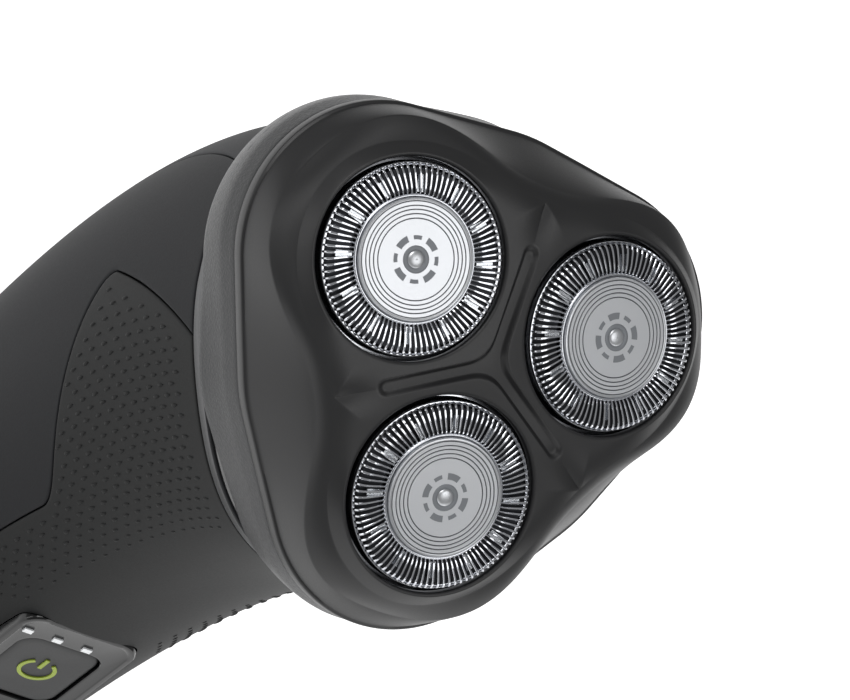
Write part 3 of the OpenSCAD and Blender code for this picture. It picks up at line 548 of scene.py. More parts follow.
# %% [markdown]
# ## Repeats with Geometry Nodes
#
# A guard is one bar repeated ninety times round an axis. A small node tree does the repeat:
# it turns copies of a single bar round Z and joins them. The same tree serves all guards,
# with the number of copies as its input, so a finer guard is one changed number.


# %% Polar copies
def new_tree(name, **inputs):
    """An empty tree with one geometry output, and its inputs by name and kind of socket."""
    tree = bpy.data.node_groups.new(name, "GeometryNodeTree")
    for socket, kind in {"Geometry": "Geometry", **inputs}.items():
        tree.interface.new_socket(socket, in_out="INPUT", socket_type="NodeSocket" + kind)
    tree.interface.new_socket("Geometry", in_out="OUTPUT", socket_type="NodeSocketGeometry")
    return tree, add(tree, "NodeGroupInput").outputs


def realized(tree, placed, material):
    """The end of a tree: real geometry instead of instances, with its material."""
    real = add(tree, "GeometryNodeRealizeInstances", {"Geometry": placed.outputs[0]})
    coat = {"Geometry": real.outputs[0], "Material": material}
    coated = add(tree, "GeometryNodeSetMaterial", coat)
    add(tree, "NodeGroupOutput", {0: coated.outputs[0]})
    return tree


def polar_tree():
    tree, given = new_tree("polar_copies", Copies="Int", Material="Material")
    spots = add(tree, "GeometryNodePoints", {"Count": given["Copies"]})
    index = add(tree, "GeometryNodeInputIndex")
    step = add(tree, "ShaderNodeMath", {1: given["Copies"]}, operation="DIVIDE", in_0=2 * math.pi)
    angle = add(tree, "ShaderNodeMath", {0: index.outputs[0], 1: step.outputs[0]}, operation="MULTIPLY")
    turn = add(tree, "ShaderNodeCombineXYZ", {"Z": angle.outputs[0]})
    placed = add(
        tree,
        "GeometryNodeInstanceOnPoints",
        {"Points": spots.outputs[0], "Instance": given["Geometry"], "Rotation": turn.outputs[0]},
    )
    return realized(tree, placed, given["Material"])


def grown(base, tree, **inputs):
    """Runs a node tree on an object and returns the finished points and faces, in the object's units."""
    modifier = base.modifiers.new(tree.name, "NODES")
    modifier.node_group = tree
    for item in tree.interface.items_tree:
        if item.item_type == "SOCKET" and item.in_out == "INPUT" and item.name in inputs:
            modifier[item.identifier] = inputs[item.name]
    base.update_tag()
    graph = bpy.context.evaluated_depsgraph_get()
    mesh = bpy.data.meshes.new_from_object(base.evaluated_get(graph))
    made = np.array([v.co for v in mesh.vertices])
    faces = [tuple(p.vertices) for p in mesh.polygons]
    base.modifiers.remove(modifier)
    bpy.data.objects.remove(base)
    return made, faces


polar_copies = polar_tree()
print("polar tree has", len(polar_copies.nodes), "nodes")

# %% [markdown]
# ## The slotted guards
#
# A guard is pressed from sheet steel 0.3 mm thick. Its track is cut into narrow radial
# slots that hair falls into, and what is left between them are bars that bend down at both
# ends: in to the plain middle, out over the guard's shoulder. Each bar leans a little, like
# the real slots, which cross the blades at a slant.

# %% One bar, repeated round the guard
BARS = 90
BAR_PATH = [
    (6.72, -0.62), (6.8, -0.46), (6.93, -0.3), (7.12, -0.17), (7.45, -0.07), (8.0, -0.01), (8.6, 0.0),
    (9.2, -0.02), (9.6, -0.09), (9.9, -0.22), (10.1, -0.42), (10.22, -0.68), (10.26, -1.0), (10.26, -1.35),
]
BAR_SECTION = [(-1, -0.55), (-1, -0.1), (-0.62, 0.0), (0.62, 0.0), (1, -0.1), (1, -0.55)]


def one_bar():
    path = np.array(BAR_PATH)
    points = []
    slopes = np.gradient(path, axis=0)
    slopes /= np.linalg.norm(slopes, axis=1)[:, None]
    for (r, z), (run, rise) in zip(path, slopes):
        half = math.pi * r / BARS * 0.36
        sway = 0.13 * math.sin(math.pi * (r - 8.5) / 3.6)
        for across, deep in BAR_SECTION:
            lift = deep * 0.42
            points.append((r - rise * lift, half * across + sway, z + run * lift))
    faces = quads(len(path), len(BAR_SECTION), closed=True)
    faces += [tuple(range(len(BAR_SECTION)))[::-1]]
    last = (len(path) - 1) * len(BAR_SECTION)
    faces += [tuple(last + i for i in range(len(BAR_SECTION)))]
    mesh = bpy.data.meshes.new("one_bar")
    mesh.from_pydata(points, [], faces)
    return new_object("one_bar", mesh)


bars, bar_faces = grown(one_bar(), polar_copies, Copies=BARS, Material=guard_steel)
print(BARS, "bars,", len(bar_faces), "faces")

# %% The solid parts of a guard, and a dark ring below the slots, coloured as painted shade of the hollow under them
INNER_RING = [
    (6.6, -0.62), (6.62, -0.38), (6.68, -0.3), (6.78, -0.27),
    (6.88, -0.3), (6.96, -0.4), (7.0, -0.62), (6.8, -0.7),
]
SKIRT = [
    (10.0, -1.2), (10.2, -1.16), (10.31, -1.2), (10.36, -1.3), (10.38, -1.5), (10.38, -2.7), (10.5, -2.86),
    (10.8, -2.92), (11.35, -2.95), (11.35, -3.4), (10.6, -3.4), (10.1, -3.1), (10.0, -2.4),
]
# Profile of the ring under the bars; its dark finish paints the shade seen through the slots.
SHADE_RING = [(6.9, -1.3), (7.1, -0.95), (9.7, -0.95), (9.95, -1.3), (9.8, -1.6), (7.0, -1.6)]


def lathe(profile, steps, start=0):
    rings = turned(profile, steps)
    return rings.reshape(-1, 3), quads(len(profile), steps, closed=True, wrapped=True, start=start)


def guard_skin(side):
    points, faces, choose = [bars], list(bar_faces), [0] * len(bar_faces)
    count = len(bars)
    for profile, which in ((INNER_RING, 0), (SKIRT, 0), (SHADE_RING, 1)):
        more, more_faces = lathe(profile, 160, count)
        points.append(more)
        faces += more_faces
        choose += [which] * len(more_faces)
        count += len(more)
    placed = from_face(cutter_to_face(side, np.concatenate(points)))
    made = build(f"slotted_guard_{side}", placed, faces, [guard_steel, painted_slot_shade], 40, 1e-9, choose)
    return seat(made, f"guard_body_{side}", [f"guard_{side}"])


for side in LOBES:
    guard_skin(side)

# %% [markdown]
# ## The discs
#
# The plain middle of each guard carries a bead-blasted disc. Five turned grooves show as fine dark
# rings, their floors coloured a darker grey as painted shade, and a low button in the middle holds
# the disc. The eight small arcs round the button are a generic ornament, etched grey in two widths.

# %% Disc profile and marks
GROOVES = (6.2, 5.72, 5.3, 4.84, 4.36)
DISC_TOP = 0.02


def disc_profile():
    profile = [(6.58, -0.55), (6.58, -0.2), (6.56, -0.06), (6.5, 0.04), (6.4, 0.06), (6.33, DISC_TOP)]
    dark = set()
    for groove in GROOVES:
        # The floor row of each groove takes the darker grey, a painted shade.
        profile += [(groove + 0.07, DISC_TOP), (groove + 0.045, DISC_TOP - 0.06)]
        dark.add(len(profile) - 1)
        profile += [(groove - 0.045, DISC_TOP - 0.06), (groove - 0.07, DISC_TOP)]
    profile += [(3.2, DISC_TOP), (1.5, DISC_TOP)]
    profile += [(1.45, 0.07), (1.35, 0.1), (1.1, 0.1), (1.0, 0.06), (0.95, 0.03)]
    ring = set(range(len(profile) - 6, len(profile) - 1))
    profile += [(0.9, 0.09), (0.7, 0.17), (0.4, 0.22), (0.15, 0.24), (0.0, 0.24), (0.0, -0.55)]
    return profile, dark, ring


def arc_mark(reach, width, middle, spread, level):
    angles = np.linspace(middle - spread, middle + spread, 14)
    low, near, far = level - 0.05, reach - width, reach + width
    corners = ((near, low), (near, level), (far, level), (far, low))
    points = [(r * math.cos(a), r * math.sin(a), z) for r, z in corners for a in angles]
    faces = quads(4, 14, wrapped=True)
    return points, faces + [(0, 14, 28, 42), (13, 55, 41, 27)]


def disc_skin(side):
    profile, dark, ring = disc_profile()
    steps = 120
    points, faces = lathe(profile, steps)
    choose = []
    for row in range(len(profile)):
        which = 1 if row in dark else 2 if row in ring else 0
        choose += [which] * steps
    points = points.tolist()
    for i in range(8):
        width, spread = (0.36, 0.3) if i % 2 == 0 else (0.22, 0.2)
        more, more_faces = arc_mark(2.35, width, math.radians(45 * i), spread, 0.035)
        faces += [tuple(v + len(points) for v in face) for face in more_faces]
        choose += [2] * len(more_faces)
        points += more
    placed = from_face(cutter_to_face(side, points))
    coats = [disc_satin, groove_shade, etched_grey]
    made = build(f"satin_disc_{side}", placed, faces, coats, 40, 1e-9, choose)
    return seat(made, f"guard_body_{side}", [f"guard_disc_{side}"])


for side in LOBES:
    disc_skin(side)

# %% [markdown]
# ## Collar and neck ring
#
# Below the face cover the hair chamber shows as a collar. It is a moulding with a coarser
# spark-eroded grain, and it draws in towards the neck. A polished ring closes the gap
# between the collar and the handle, so that the joint reads as a thin bright line.

# %% Collar and neck ring
COLLAR_TOP = -11.42
COLLAR_END = -20.02
COLLAR_SWING = 0.85
loop_angles = np.linspace(0, 2 * math.pi, 240, endpoint=False)


def outline_loop(inset, swing):
    """The face's outline as a flat loop; swing draws its lobes in and lets its sides out."""
    radius = outline_radius(loop_angles, inset) - swing * np.cos(3 * loop_angles - math.pi / 2)
    return radius[:, None] * np.stack([np.cos(loop_angles), np.sin(loop_angles)], axis=1)


def at_level(flat, level):
    return from_face(np.column_stack([flat, np.full(len(flat), level)]))


def collar_loop(level, inset, swing=0.0):
    return at_level(outline_loop(inset, swing), level)


collar_steps = [(COLLAR_TOP, 1.5), (COLLAR_TOP, 0.5), (COLLAR_TOP - 0.04, 0.38), (COLLAR_TOP - 0.15, 0.3)]
for share in np.linspace(0.06, 0.96, 16):
    late = max(0.0, (share - 0.35) / 0.65) ** 1.6
    inset = 0.25 - 0.35 * min(share / 0.35, 1.0) + 0.3 * late
    collar_steps.append((COLLAR_TOP + (COLLAR_END - COLLAR_TOP) * share, inset, COLLAR_SWING * late))
foot_steps = ((COLLAR_END + 0.06, 0.3), (COLLAR_END, 0.5), (COLLAR_END, 3.0))
collar_steps += [(*step, COLLAR_SWING) for step in foot_steps]
collar = ring_shell("grained_collar", [collar_loop(*step) for step in collar_steps], [collar_abs])
seat(collar, "shaving_unit")

# %% [markdown]
# ## The handle's surface
#
# The handle is a sweep of rounded sections along a curved centre line. At the base the
# section is an oblong; towards the neck it takes on the face's three lobes. The shells
# follow the same curve as the CAD, with far finer rows, so that highlights run smoothly.

# %% Sections of the handle
FACE_TILT = math.radians(40)
HEAD = np.array([face_centre[1], face_centre[2]])
CAP_HEIGHT = 6.0
NECK_B = -3.6
NECK_PLANE = -24.0
normal_yz = np.array([-math.sin(FACE_TILT), math.cos(FACE_TILT)])
up_yz = np.array([math.cos(FACE_TILT), math.sin(FACE_TILT)])
neck_end = HEAD + NECK_B * up_yz + NECK_PLANE * normal_yz
SPINE = np.array(
    [
        [0, CAP_HEIGHT],
        [7, CAP_HEIGHT + 0.32 * HEAD[1]],
        neck_end - 0.22 * HEAD[1] * normal_yz,
        neck_end,
    ]
)
SIZES = {"width": (34.0, 44.0, 49.0), "depth": (35.0, 50.0, 52.0)}
SQUARE = 2 / 2.3
NECK_INSET = 2.7
LOBE_REACH = CUTTER_RADIUS + RIM_RADIUS
SIDE_REACH = CUTTER_RADIUS / 2 + RIM_RADIUS + RIM_BOW


def on_spine(t):
    u = 1 - t
    return u**3 * SPINE[0] + 3 * u * u * t * SPINE[1] + 3 * u * t * t * SPINE[2] + t**3 * SPINE[3]


def spine_tilt(t):
    u = 1 - t
    legs = SPINE[1:] - SPINE[:-1]
    slope = 3 * u * u * legs[0] + 6 * u * t * legs[1] + 3 * t * t * legs[2]
    return math.atan2(-slope[0], slope[1]) * min(1.0, 6 * t)


def half(size, t):
    low, middle, high = SIZES[size]
    return ((1 - t) ** 2 * low + 2 * t * (1 - t) * middle + t * t * high) / 2


def section(t, angles, inset=0.0):
    c, s = np.cos(angles), np.sin(angles)
    oblong = np.stack(
        [
            (half("width", t) - inset) * np.sign(c) * np.abs(c) ** SQUARE,
            (half("depth", t) - inset) * np.sign(s) * np.abs(s) ** SQUARE,
        ],
        axis=-1,
    )
    swing = np.cos(3 * (angles - math.pi / 6))
    radius = (LOBE_REACH + SIDE_REACH) / 2 - inset - NECK_INSET + (LOBE_REACH - SIDE_REACH) / 2 * swing
    lobed = np.stack([radius * c, radius * s - NECK_B], axis=-1)
    share = 0.6 * t**3
    return oblong * (1 - share) + lobed * share


def place_section(t, flat):
    centre, tilt = on_spine(t), spine_tilt(t)
    y = centre[0] + flat[..., 1] * math.cos(tilt)
    z = centre[1] + flat[..., 1] * math.sin(tilt)
    return np.stack([flat[..., 0], y, z], axis=-1)


def halved(low, high, before):
    """The value between low and high where `before` stops being true."""
    for _ in range(40):
        middle = (low + high) / 2
        if before(middle):
            low = middle
        else:
            high = middle
    return low


def seam_angle(t, share):
    """The angle, on the right half, at which the section reaches a share of its half depth."""
    wanted = share * half("depth", t)
    return halved(-math.pi / 2, math.pi / 2, lambda angle: section(t, np.array([angle]))[0, 1] < wanted)


def rear_share(t):
    return 0.73 - 0.16 * max(0.0, (t - 0.7) / 0.3) ** 2


def front_share(t):
    if t < 0.6:
        return -0.72
    if t < 0.8:
        return -0.72 + 0.86 * math.sin(math.pi / 2 * (t - 0.6) / 0.2) ** 2
    return 0.14 - 0.3 * (t - 0.8) / 0.2


print("neck centre", neck_end.round(3), "front seam at", round(math.degrees(seam_angle(0.5, -0.72)), 1))

# %% [markdown]
# ## Shells with rounded seams
#
# Where two shells meet, each edge is rounded by about 0.2 mm, which the eye reads as a fine
# dark line with a bright side. The rows of points run along the seams, so the edge stays
# clean. A dip profile lowers the surface over the last 0.4 mm before each edge.

# %% Lofted shells
WALL = 1.8
SEAM_GAP = 0.06
LAST_STATION = 0.9995
DIPS = ((0.0, 0.26), (0.04, 0.15), (0.1, 0.07), (0.22, 0.02), (0.42, 0.0))


def shell_piece(name, low, high, material, slot, nodes, rows=150, across=84, relief=None):
    """A closed shell between two seams, given as angles round the section at each station."""
    loops = []
    ends = [(0.0, 0.26), (0.0006, 0.1), (0.0016, 0.03), (0.003, 0.0)]
    stations = ends + [(t, 0.0) for t in np.linspace(0.008, LAST_STATION - 0.008, rows)]
    stations += [(LAST_STATION - s, d) for s, d in ends[::-1]]
    for t, end_dip in stations:
        a, b = low(t), high(t)
        radius = np.linalg.norm(section(t, np.array([(a + b) / 2]))[0])
        inward = SEAM_GAP / radius
        edge = [(d / radius, dip) for d, dip in DIPS]
        first = [(a + inward + d, dip) for d, dip in edge]
        last = [(b - inward - d, dip) for d, dip in edge[::-1]]
        middle = [(x, 0.0) for x in np.linspace(first[-1][0], last[0][0], across)[1:-1]]
        line = np.array(first + middle + last)
        angles, dips = line[:, 0], np.maximum(line[:, 1], end_dip)
        shape = section(t, angles)
        inner = section(t, angles, WALL)
        inward_way = (inner - shape) / WALL
        if relief is not None:
            dips = dips + relief(t, place_section(t, shape)) * (line[:, 1] == 0) * (end_dip == 0)
        loop = np.concatenate([shape + inward_way * dips[:, None], inner[::-1]])
        loops.append(place_section(t, loop))
    loops = np.array(loops)
    count = loops.shape[1]
    faces = quads(len(loops), count, closed=True)
    columns = count // 2
    for base in (0, (len(loops) - 1) * count):
        for k in range(columns - 1):
            faces.append((base + k, base + k + 1, base + count - 2 - k, base + count - 1 - k))
    made = build(name, loops.reshape(-1, 3), faces, [material], crease=50)
    return seat(made, "handle", nodes)


def ridges(t, placed):
    """Shallow scallops across the back, where the fingers rest."""
    z = placed[:, 2]
    centre = 1 - ease(9.0, 12.5, np.abs(placed[:, 0]))
    along = (1 - ease(116, 122, z)) * ease(26, 34, z)
    return 0.32 * centre * along * (0.5 + 0.5 * np.cos(2 * math.pi * z / 3.6)) ** 1.5


def mirrored(low, high):
    return lambda t: math.pi - high(t), lambda t: math.pi - low(t)


def front_angle(t):
    return seam_angle(t, front_share(t))


def rear_angle(t):
    return seam_angle(t, rear_share(t))


rear_limits = (rear_angle, lambda t: math.pi - rear_angle(t))
shell_piece(
    "rear_shell_skin", *rear_limits, rear_abs, "shell_charcoal", ["rear_shell"], rows=260, relief=ridges
)
side_limits = (front_angle, rear_angle)
shell_piece("side_skin_right", *side_limits, side_abs, "panel_charcoal", ["side_panel_right"])
shell_piece("side_skin_left", *mirrored(*side_limits), side_abs, "panel_charcoal", ["side_panel_left"])
front_limits = (lambda t: -math.pi - front_angle(t), front_angle)
front_skin = shell_piece("front_shell_skin", *front_limits, front_abs, "panel_black", ["front_shell"])

# %% [markdown]
# ## Neck ring and neck band
#
# The head clicks onto a polished ring. It bridges two outlines: the collar's above and the
# handle's below. The band under it belongs to the handle and closes its four shells.

# %% Ring and band on the neck
def neck_loop(level, inset, share):
    """A loop between the collar's outline, at share 0, and the handle's, at share 1."""
    handle = section(1.0, loop_angles, inset) + np.array([0, NECK_B])
    return at_level(outline_loop(0.35 + inset, COLLAR_SWING) * (1 - share) + handle * share, level)


ring_steps = [
    (-20.1, 2.4, 0.0), (-20.1, 0.75, 0.0), (-20.14, 0.5, 0.05), (-20.3, 0.3, 0.2), (-20.7, 0.25, 0.4),
    (-21.2, 0.25, 0.7), (-21.6, 0.25, 0.9), (-21.8, 0.35, 1.0), (-21.88, 0.55, 1.0), (-21.88, 3.2, 1.0),
]
ring = ring_shell("polished_neck_ring", [neck_loop(*step) for step in ring_steps], [gloss_abs])
seat(ring, "handle", ["neck_ring"])
band_steps = [
    (-22.0, 1.8, 1.0), (-22.0, 0.3, 1.0), (-22.04, 0.12, 1.0), (-22.16, 0.0, 1.0), (-23.72, 0.0, 1.0),
    (-23.84, 0.08, 1.0), (-23.9, 0.26, 1.0), (-23.9, 1.8, 1.0),
]
band = ring_shell("neck_band_skin", [neck_loop(*step) for step in band_steps], [band_abs])
seat(band, "handle", ["neck_band"])

# %% [markdown]
# ## Button and its bezel
#
# The power button is a soft pillow of rubber-like elastomer in a raised ABS bezel. Its green
# symbol is the usual broken ring with a bar, pad printed and left slightly proud. The opal
# windows of the charge display keep their CAD shape, so nothing is built for them here.

# %% Axes of the control panel
button_out = -unit(joints["button_press"]["axis"])
button_up = np.cross(button_out, face_right)
PANEL_HEIGHT = 60.0


def front_line(t):
    """The point of the handle's front at a station."""
    return place_section(t, np.array([0.0, -half("depth", t)]))


panel_station = halved(0.0, 1.0, lambda t: front_line(t)[2] < PANEL_HEIGHT)
panel_centre = np.array([0.0, front_line(panel_station)[1], PANEL_HEIGHT])


def from_panel(points):
    return panel_centre + np.asarray(points, float) @ np.stack([face_right, button_up, button_out])


def rounded_loop(width, height, corner, level, middle=(0.0, 0.0), steps=10):
    points = []
    for quarter in range(4):
        x = (width / 2 - corner) * (1 if quarter in (0, 3) else -1)
        y = (height / 2 - corner) * (1 if quarter in (0, 1) else -1)
        for angle in np.linspace(quarter, quarter + 1, steps) * math.pi / 2:
            across, up = corner * math.cos(angle), corner * math.sin(angle)
            points.append((middle[0] + x + across, middle[1] + y + up, level))
    return from_panel(points)


def closed_loops(name, loops, materials, crease=40):
    count = len(loops[0])
    faces = quads(len(loops), count, closed=True)
    faces += [tuple(range(count))[::-1], tuple((len(loops) - 1) * count + i for i in range(count))]
    return build(name, np.concatenate(loops), faces, materials, crease)


# %% Bezel, button and symbol
BEZEL = (15.76, 21.36)
BUTTON = (10.8, 14.0)
UP = (0.0, 1.2)
SYMBOL_STEPS = 60
bezel_loops = [rounded_loop(*BEZEL, 3.0, level, UP) for level in (-4.6, 0.5)]
for shrink, level in ((0.1, 0.8), (0.3, 0.96), (0.6, 1.0), (1.5, 1.0), (1.7, 0.94), (2.0, 0.9)):
    bezel_loops.append(rounded_loop(BEZEL[0] - shrink, BEZEL[1] - shrink, 3.0 - shrink / 3, level, UP))
for grow, level in ((1.1, 0.86), (0.5, 0.82), (0.3, 0.7), (0.24, 0.5), (0.24, -4.6)):
    bezel_loops.append(rounded_loop(BUTTON[0] + grow, BUTTON[1] + grow, 2.4 + grow / 4, level))
bezel = ring_shell("button_bezel_skin", bezel_loops, [gloss_abs], crease=30)
seat(bezel, "handle", ["button_bezel"])
pillow = [rounded_loop(BUTTON[0], BUTTON[1], 2.4, -3.4), rounded_loop(BUTTON[0], BUTTON[1], 2.4, 0.1)]
for shrink, level in ((0.16, 0.32), (0.5, 0.47), (1.1, 0.55), (2.6, 0.55), (5.0, 0.48), (8.5, 0.42)):
    pillow.append(rounded_loop(BUTTON[0] - shrink, BUTTON[1] - shrink, max(2.4 - shrink / 4, 0.5), level))
button = closed_loops("pillow_button", pillow, [button_skin])
seat(button, "button", ["power_button"])


def symbol_points():
    angles = np.radians(np.linspace(125, 415, SYMBOL_STEPS))
    loops = []
    for angle in angles:
        way = np.array([math.cos(angle), math.sin(angle)])
        loops.append([(*(way * r), z) for r, z in ((1.9, 0.4), (1.9, 0.6), (2.4, 0.6), (2.4, 0.4))])
    last = 4 * (SYMBOL_STEPS - 1)
    faces = quads(len(angles), 4, closed=True) + [(3, 2, 1, 0), (last, last + 1, last + 2, last + 3)]
    bar = [(x, y, z) for z in (0.4, 0.6) for x, y in ((-0.26, 0.5), (0.26, 0.5), (0.26, 2.7), (-0.26, 2.7))]
    box_faces = [(0, 3, 2, 1), (4, 5, 6, 7), (0, 1, 5, 4), (1, 2, 6, 5), (2, 3, 7, 6), (3, 0, 4, 7)]
    faces += [tuple(4 * SYMBOL_STEPS + i for i in face) for face in box_faces]
    return np.concatenate([np.array(loops).reshape(-1, 3), bar]), faces


symbol, symbol_faces = symbol_points()
mark = build("power_symbol", from_panel(symbol), symbol_faces, [button_mark])
seat(mark, "button")

# %% Opening in the front shell for the bezel
cutter = closed_loops(
    "bezel_cutter",
    [rounded_loop(BEZEL[0] + 0.24, BEZEL[1] + 0.24, 3.0, level, UP) for level in (-9.0, 4.0)],
    [front_abs],
)
cut = front_skin.modifiers.new("opening", "BOOLEAN")
cut.object = cutter
cut.operation = "DIFFERENCE"
cut.solver = "EXACT"
graph = bpy.context.evaluated_depsgraph_get()
opened = bpy.data.meshes.new_from_object(front_skin.evaluated_get(graph))
front_skin.modifiers.remove(cut)
front_skin.data = opened
finish_shading(opened, 50)
bpy.data.objects.remove(cutter)
print("front shell has", len(opened.polygons), "faces after the opening")

# %% [markdown]
# ## Raised pips
#
# The front shell carries a field of small teardrops that give wet fingers a hold. They are
# moulded with the shell, 0.9 to 1.4 mm long and about a tenth of a millimetre high, in
# staggered rows that fade out towards the middle.


# %% Pips by Geometry Nodes
def pip_tree():
    tree, given = new_tree("pips_on_points", Pip="Object", Material="Material")
    pip = add(tree, "GeometryNodeObjectInfo", {"Object": given["Pip"]})
    turn = add(tree, "GeometryNodeInputNamedAttribute", data_type="FLOAT_VECTOR", in_Name="turn")
    size = add(tree, "GeometryNodeInputNamedAttribute", data_type="FLOAT", in_Name="size")
    placed = add(
        tree,
        "GeometryNodeInstanceOnPoints",
        {
            "Points": given["Geometry"],
            "Instance": pip.outputs["Geometry"],
            "Rotation": turn.outputs["Attribute"],
            "Scale": size.outputs["Attribute"],
        },
    )
    return realized(tree, placed, given["Material"])


def one_pip():
    rings = []
    for lift, share in ((-0.06, 1.06), (0.02, 1.0), (0.09, 0.72), (0.13, 0.34)):
        ring = []
        for angle in np.linspace(0, 2 * math.pi, 12, endpoint=False):
            along, side = math.cos(angle), math.sin(angle)
            ring.append((0.62 * share * along, 0.2 * share * side * (1 - 0.45 * along), lift))
        rings.append(ring)
    faces = quads(4, 12, closed=True) + [tuple(range(12))[::-1], tuple(36 + i for i in range(12))]
    mesh = bpy.data.meshes.new("one_pip")
    mesh.from_pydata(np.array(rings).reshape(-1, 3).tolist(), [], faces)
    return new_object("one_pip", mesh)


def pip_spots():
    spots, turns, sizes = [], [], []
    for row, t in enumerate(np.arange(0.4, 0.955, 0.0135)):
        b_middle = -math.pi / 2
        radius = 25.0
        step = 2.6 / radius
        last = front_angle(t) - 1.5 / radius
        for angle in np.arange(b_middle + (7.0 + 1.3 * (row % 2)) / radius, last, step):
            for side in (angle, -math.pi - angle):
                here = place_section(t, section(t, np.array([side])))[0]
                ahead = place_section(t + 0.002, section(t + 0.002, np.array([side])))[0]
                beside = place_section(t, section(t, np.array([side + 0.01])))[0]
                along = unit(ahead - here)
                out = unit(np.cross(beside - here, along))
                frame_turn = Matrix(np.stack([along, np.cross(out, along), out]).T.tolist())
                fade = ease(6.0 / radius, 16.0 / radius, angle - b_middle) * ease(0.4, 0.5, t)
                if fade > 0.2:
                    spots.append(here)
                    turns.append(frame_turn.to_euler())
                    sizes.append(0.6 + 0.5 * fade)
    return spots, turns, sizes


spots, turns, sizes = pip_spots()
points_mesh = bpy.data.meshes.new("pip_points")
points_mesh.from_pydata([tuple(p) for p in spots], [], [])
turn_values = points_mesh.attributes.new("turn", "FLOAT_VECTOR", "POINT")
turn_values.data.foreach_set("vector", np.array(turns).ravel())
size_values = points_mesh.attributes.new("size", "FLOAT", "POINT")
size_values.data.foreach_set("value", np.array(sizes))
pip = one_pip()
pips, pip_faces = grown(new_object("pip_points", points_mesh), pip_tree(), Pip=pip, Material=front_abs)
bpy.data.objects.remove(pip)
pip_skin = build("front_pips", pips, pip_faces, [front_abs], crease=60, merge=1e-9)
seat(pip_skin, "handle")
print(len(spots), "pips")

# %% [markdown]
# ## Finishes of the inner parts
#
# The parts inside the handle and the head keep their CAD shape. Each still has the finish
# of its real material, for when the head is lifted off or the parts are pulled apart.

# %% Materials for the CAD nodes
INNER = {
    "panel_black": ("satin_abs_base", "#1a1b1c", 0.42, {}),
    "shell_charcoal": ("satin_abs_shell", "#232427", 0.5, {}),
    "panel_charcoal": ("satin_abs_panel", "#1d1e20", 0.45, {}),
    "gloss_black": ("polished_abs", "#0c0c0d", 0.2, {}),
    "bezel_black": ("satin_abs_bezel", "#151617", 0.35, {}),
    "button_rubber": ("elastomer", "#1b1c1d", 0.6, {}),
    "board_green": ("solder_masked_board", "#1f5a33", 0.4, {"grain": 1.2, "tone": 0.25}),
    "inner_black": ("glass_filled_nylon", "#202122", 0.6, {"grain": 0.5, "tone": 0.25}),
    "battery_sleeve": ("shrink_sleeve", "#2c5a86", 0.35, {"grain": 2.0}),
    "nickel": ("nickel_plate", "#c2bfb5", 0.25, {"metallic": 1.0}),
    "inner_grey": ("grey_abs", "#5a5c5f", 0.5, {"grain": 0.4}),
    "zinc_steel": ("zinc_plated_steel", "#a9adb2", 0.32, {"metallic": 1.0, "tone": 0.2}),
    "motor_can": ("galvanised_can", "#9a9ca0", 0.38, {"metallic": 1.0, "grain": 1.5, "tone": 0.2}),
    "lead_red": ("pvc_insulation", "#a92a22", 0.45, {}),
    "acetal": ("white_acetal", "#e6e1d2", 0.38, {"tone": 0.04}),
    "seal_rubber": ("nitrile_seal", "#1c1c1c", 0.65, {}),
    "brass_pins": ("gold_flashed_brass", "#d0a94e", 0.25, {"metallic": 1.0}),
    "collar_grain": ("spark_eroded_abs_inner", "#2a2b2d", 0.45, {"grain": 0.32, "bump": 0.04, "tone": 0.25}),
    "knob_orange": ("orange_abs", "#c2502f", 0.42, {}),
    "spring_steel": ("drawn_spring_wire", "#8f9296", 0.28, {"metallic": 1.0}),
    "cutter_steel": ("ground_cutter_steel", "#b4b7bb", 0.22, {"metallic": 1.0, "grain": 0.12, "tone": 0.15}),
}
finishes = {}
for slot, (name, colour, rough, more) in INNER.items():
    finishes[slot] = finish(name, colour, rough, **more)
finishes["indicator_white"] = window_white
for row in frame["record"]["subparts"]:
    node = frame["nodes"][row["node"]]
    if row["material_slot"] in finishes:
        node.data.materials.clear()
        node.data.materials.append(finishes[row["material_slot"]])
print(len(finishes), "inner finishes")

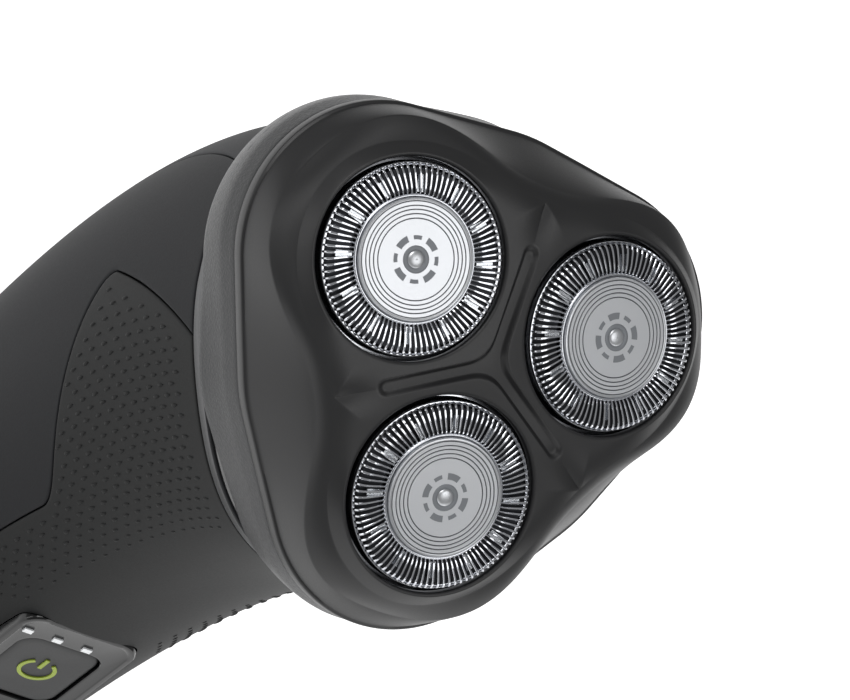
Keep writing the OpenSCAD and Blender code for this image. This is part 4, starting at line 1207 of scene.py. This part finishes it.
# %% [markdown]
# ## Studio
#
# A white floor and a dim, even world stand for a light tent. Metal needs bright and dark
# things to mirror, so most of the light comes from a few soft boxes: one at the upper left,
# one where the discs mirror it, and two low ones that draw the edges of the black shells.


# %% Floor, world and lamps
def emitter(name, place, target, size, power):
    data = bpy.data.lights.new(name, "AREA")
    data.shape = "RECTANGLE"
    data.size, data.size_y = size
    data.energy = power
    made = bpy.data.objects.new(name, data)
    bpy.context.scene.collection.objects.link(made)
    spot = Vector(place)
    aim = (Vector(target) - spot).to_track_quat("-Z", "Y")
    made.matrix_world = Matrix.Translation(spot) @ aim.to_matrix().to_4x4()
    return made


def studio_white(name, colour, glow):
    material = bpy.data.materials.new(name)
    material.use_nodes = True
    tree = material.node_tree
    shader = tree.nodes["Principled BSDF"]
    shader.inputs["Base Color"].default_value = linear(colour)
    shader.inputs["Roughness"].default_value = 0.9
    shader.inputs["Emission Color"].default_value = (1, 1, 1, 1)
    shader.inputs["Emission Strength"].default_value = glow
    return material


floor_mesh = bpy.data.meshes.new("studio_floor")
floor_mesh.from_pydata([(-6, -6, 0), (6, -6, 0), (6, 6, 0), (-6, 6, 0)], [], [(0, 1, 2, 3)])
floor_mesh.materials.append(studio_white("white_sweep", "#f0f0f0", 0.74))
floor = new_object("studio_floor", floor_mesh)
target = face_centre * MM


def lit_from(name, direction, reach, size, power):
    """A soft box in a direction given in the face's own axes."""
    return emitter(name, target + unit(direction) @ face_axes * reach, target, size, power)


lit_from("key_box", (-0.55, 0.6, 0.6), 0.9, (0.45, 0.45), 3.2)
lit_from("disc_box", (0.28, 0.1, 0.95), 0.8, (0.42, 0.42), 1.3)
lit_from("side_box", (-0.95, 0.1, 0.1), 0.9, (0.15, 0.5), 0.7)
lit_from("low_box", (0.6, -0.8, 0.3), 0.9, (0.3, 0.5), 0.9)
world = bpy.data.worlds.new("light_tent")
bpy.context.scene.world = world
world.use_nodes = True
tree = world.node_tree
tree.nodes.clear()
back = add(tree, "ShaderNodeBackground", in_Color=(1, 1, 1, 1), in_Strength=0.3)
add(tree, "ShaderNodeOutputWorld", {"Surface": back.outputs[0]})
bpy.context.scene.view_settings.view_transform = "Standard"
print("studio ready")
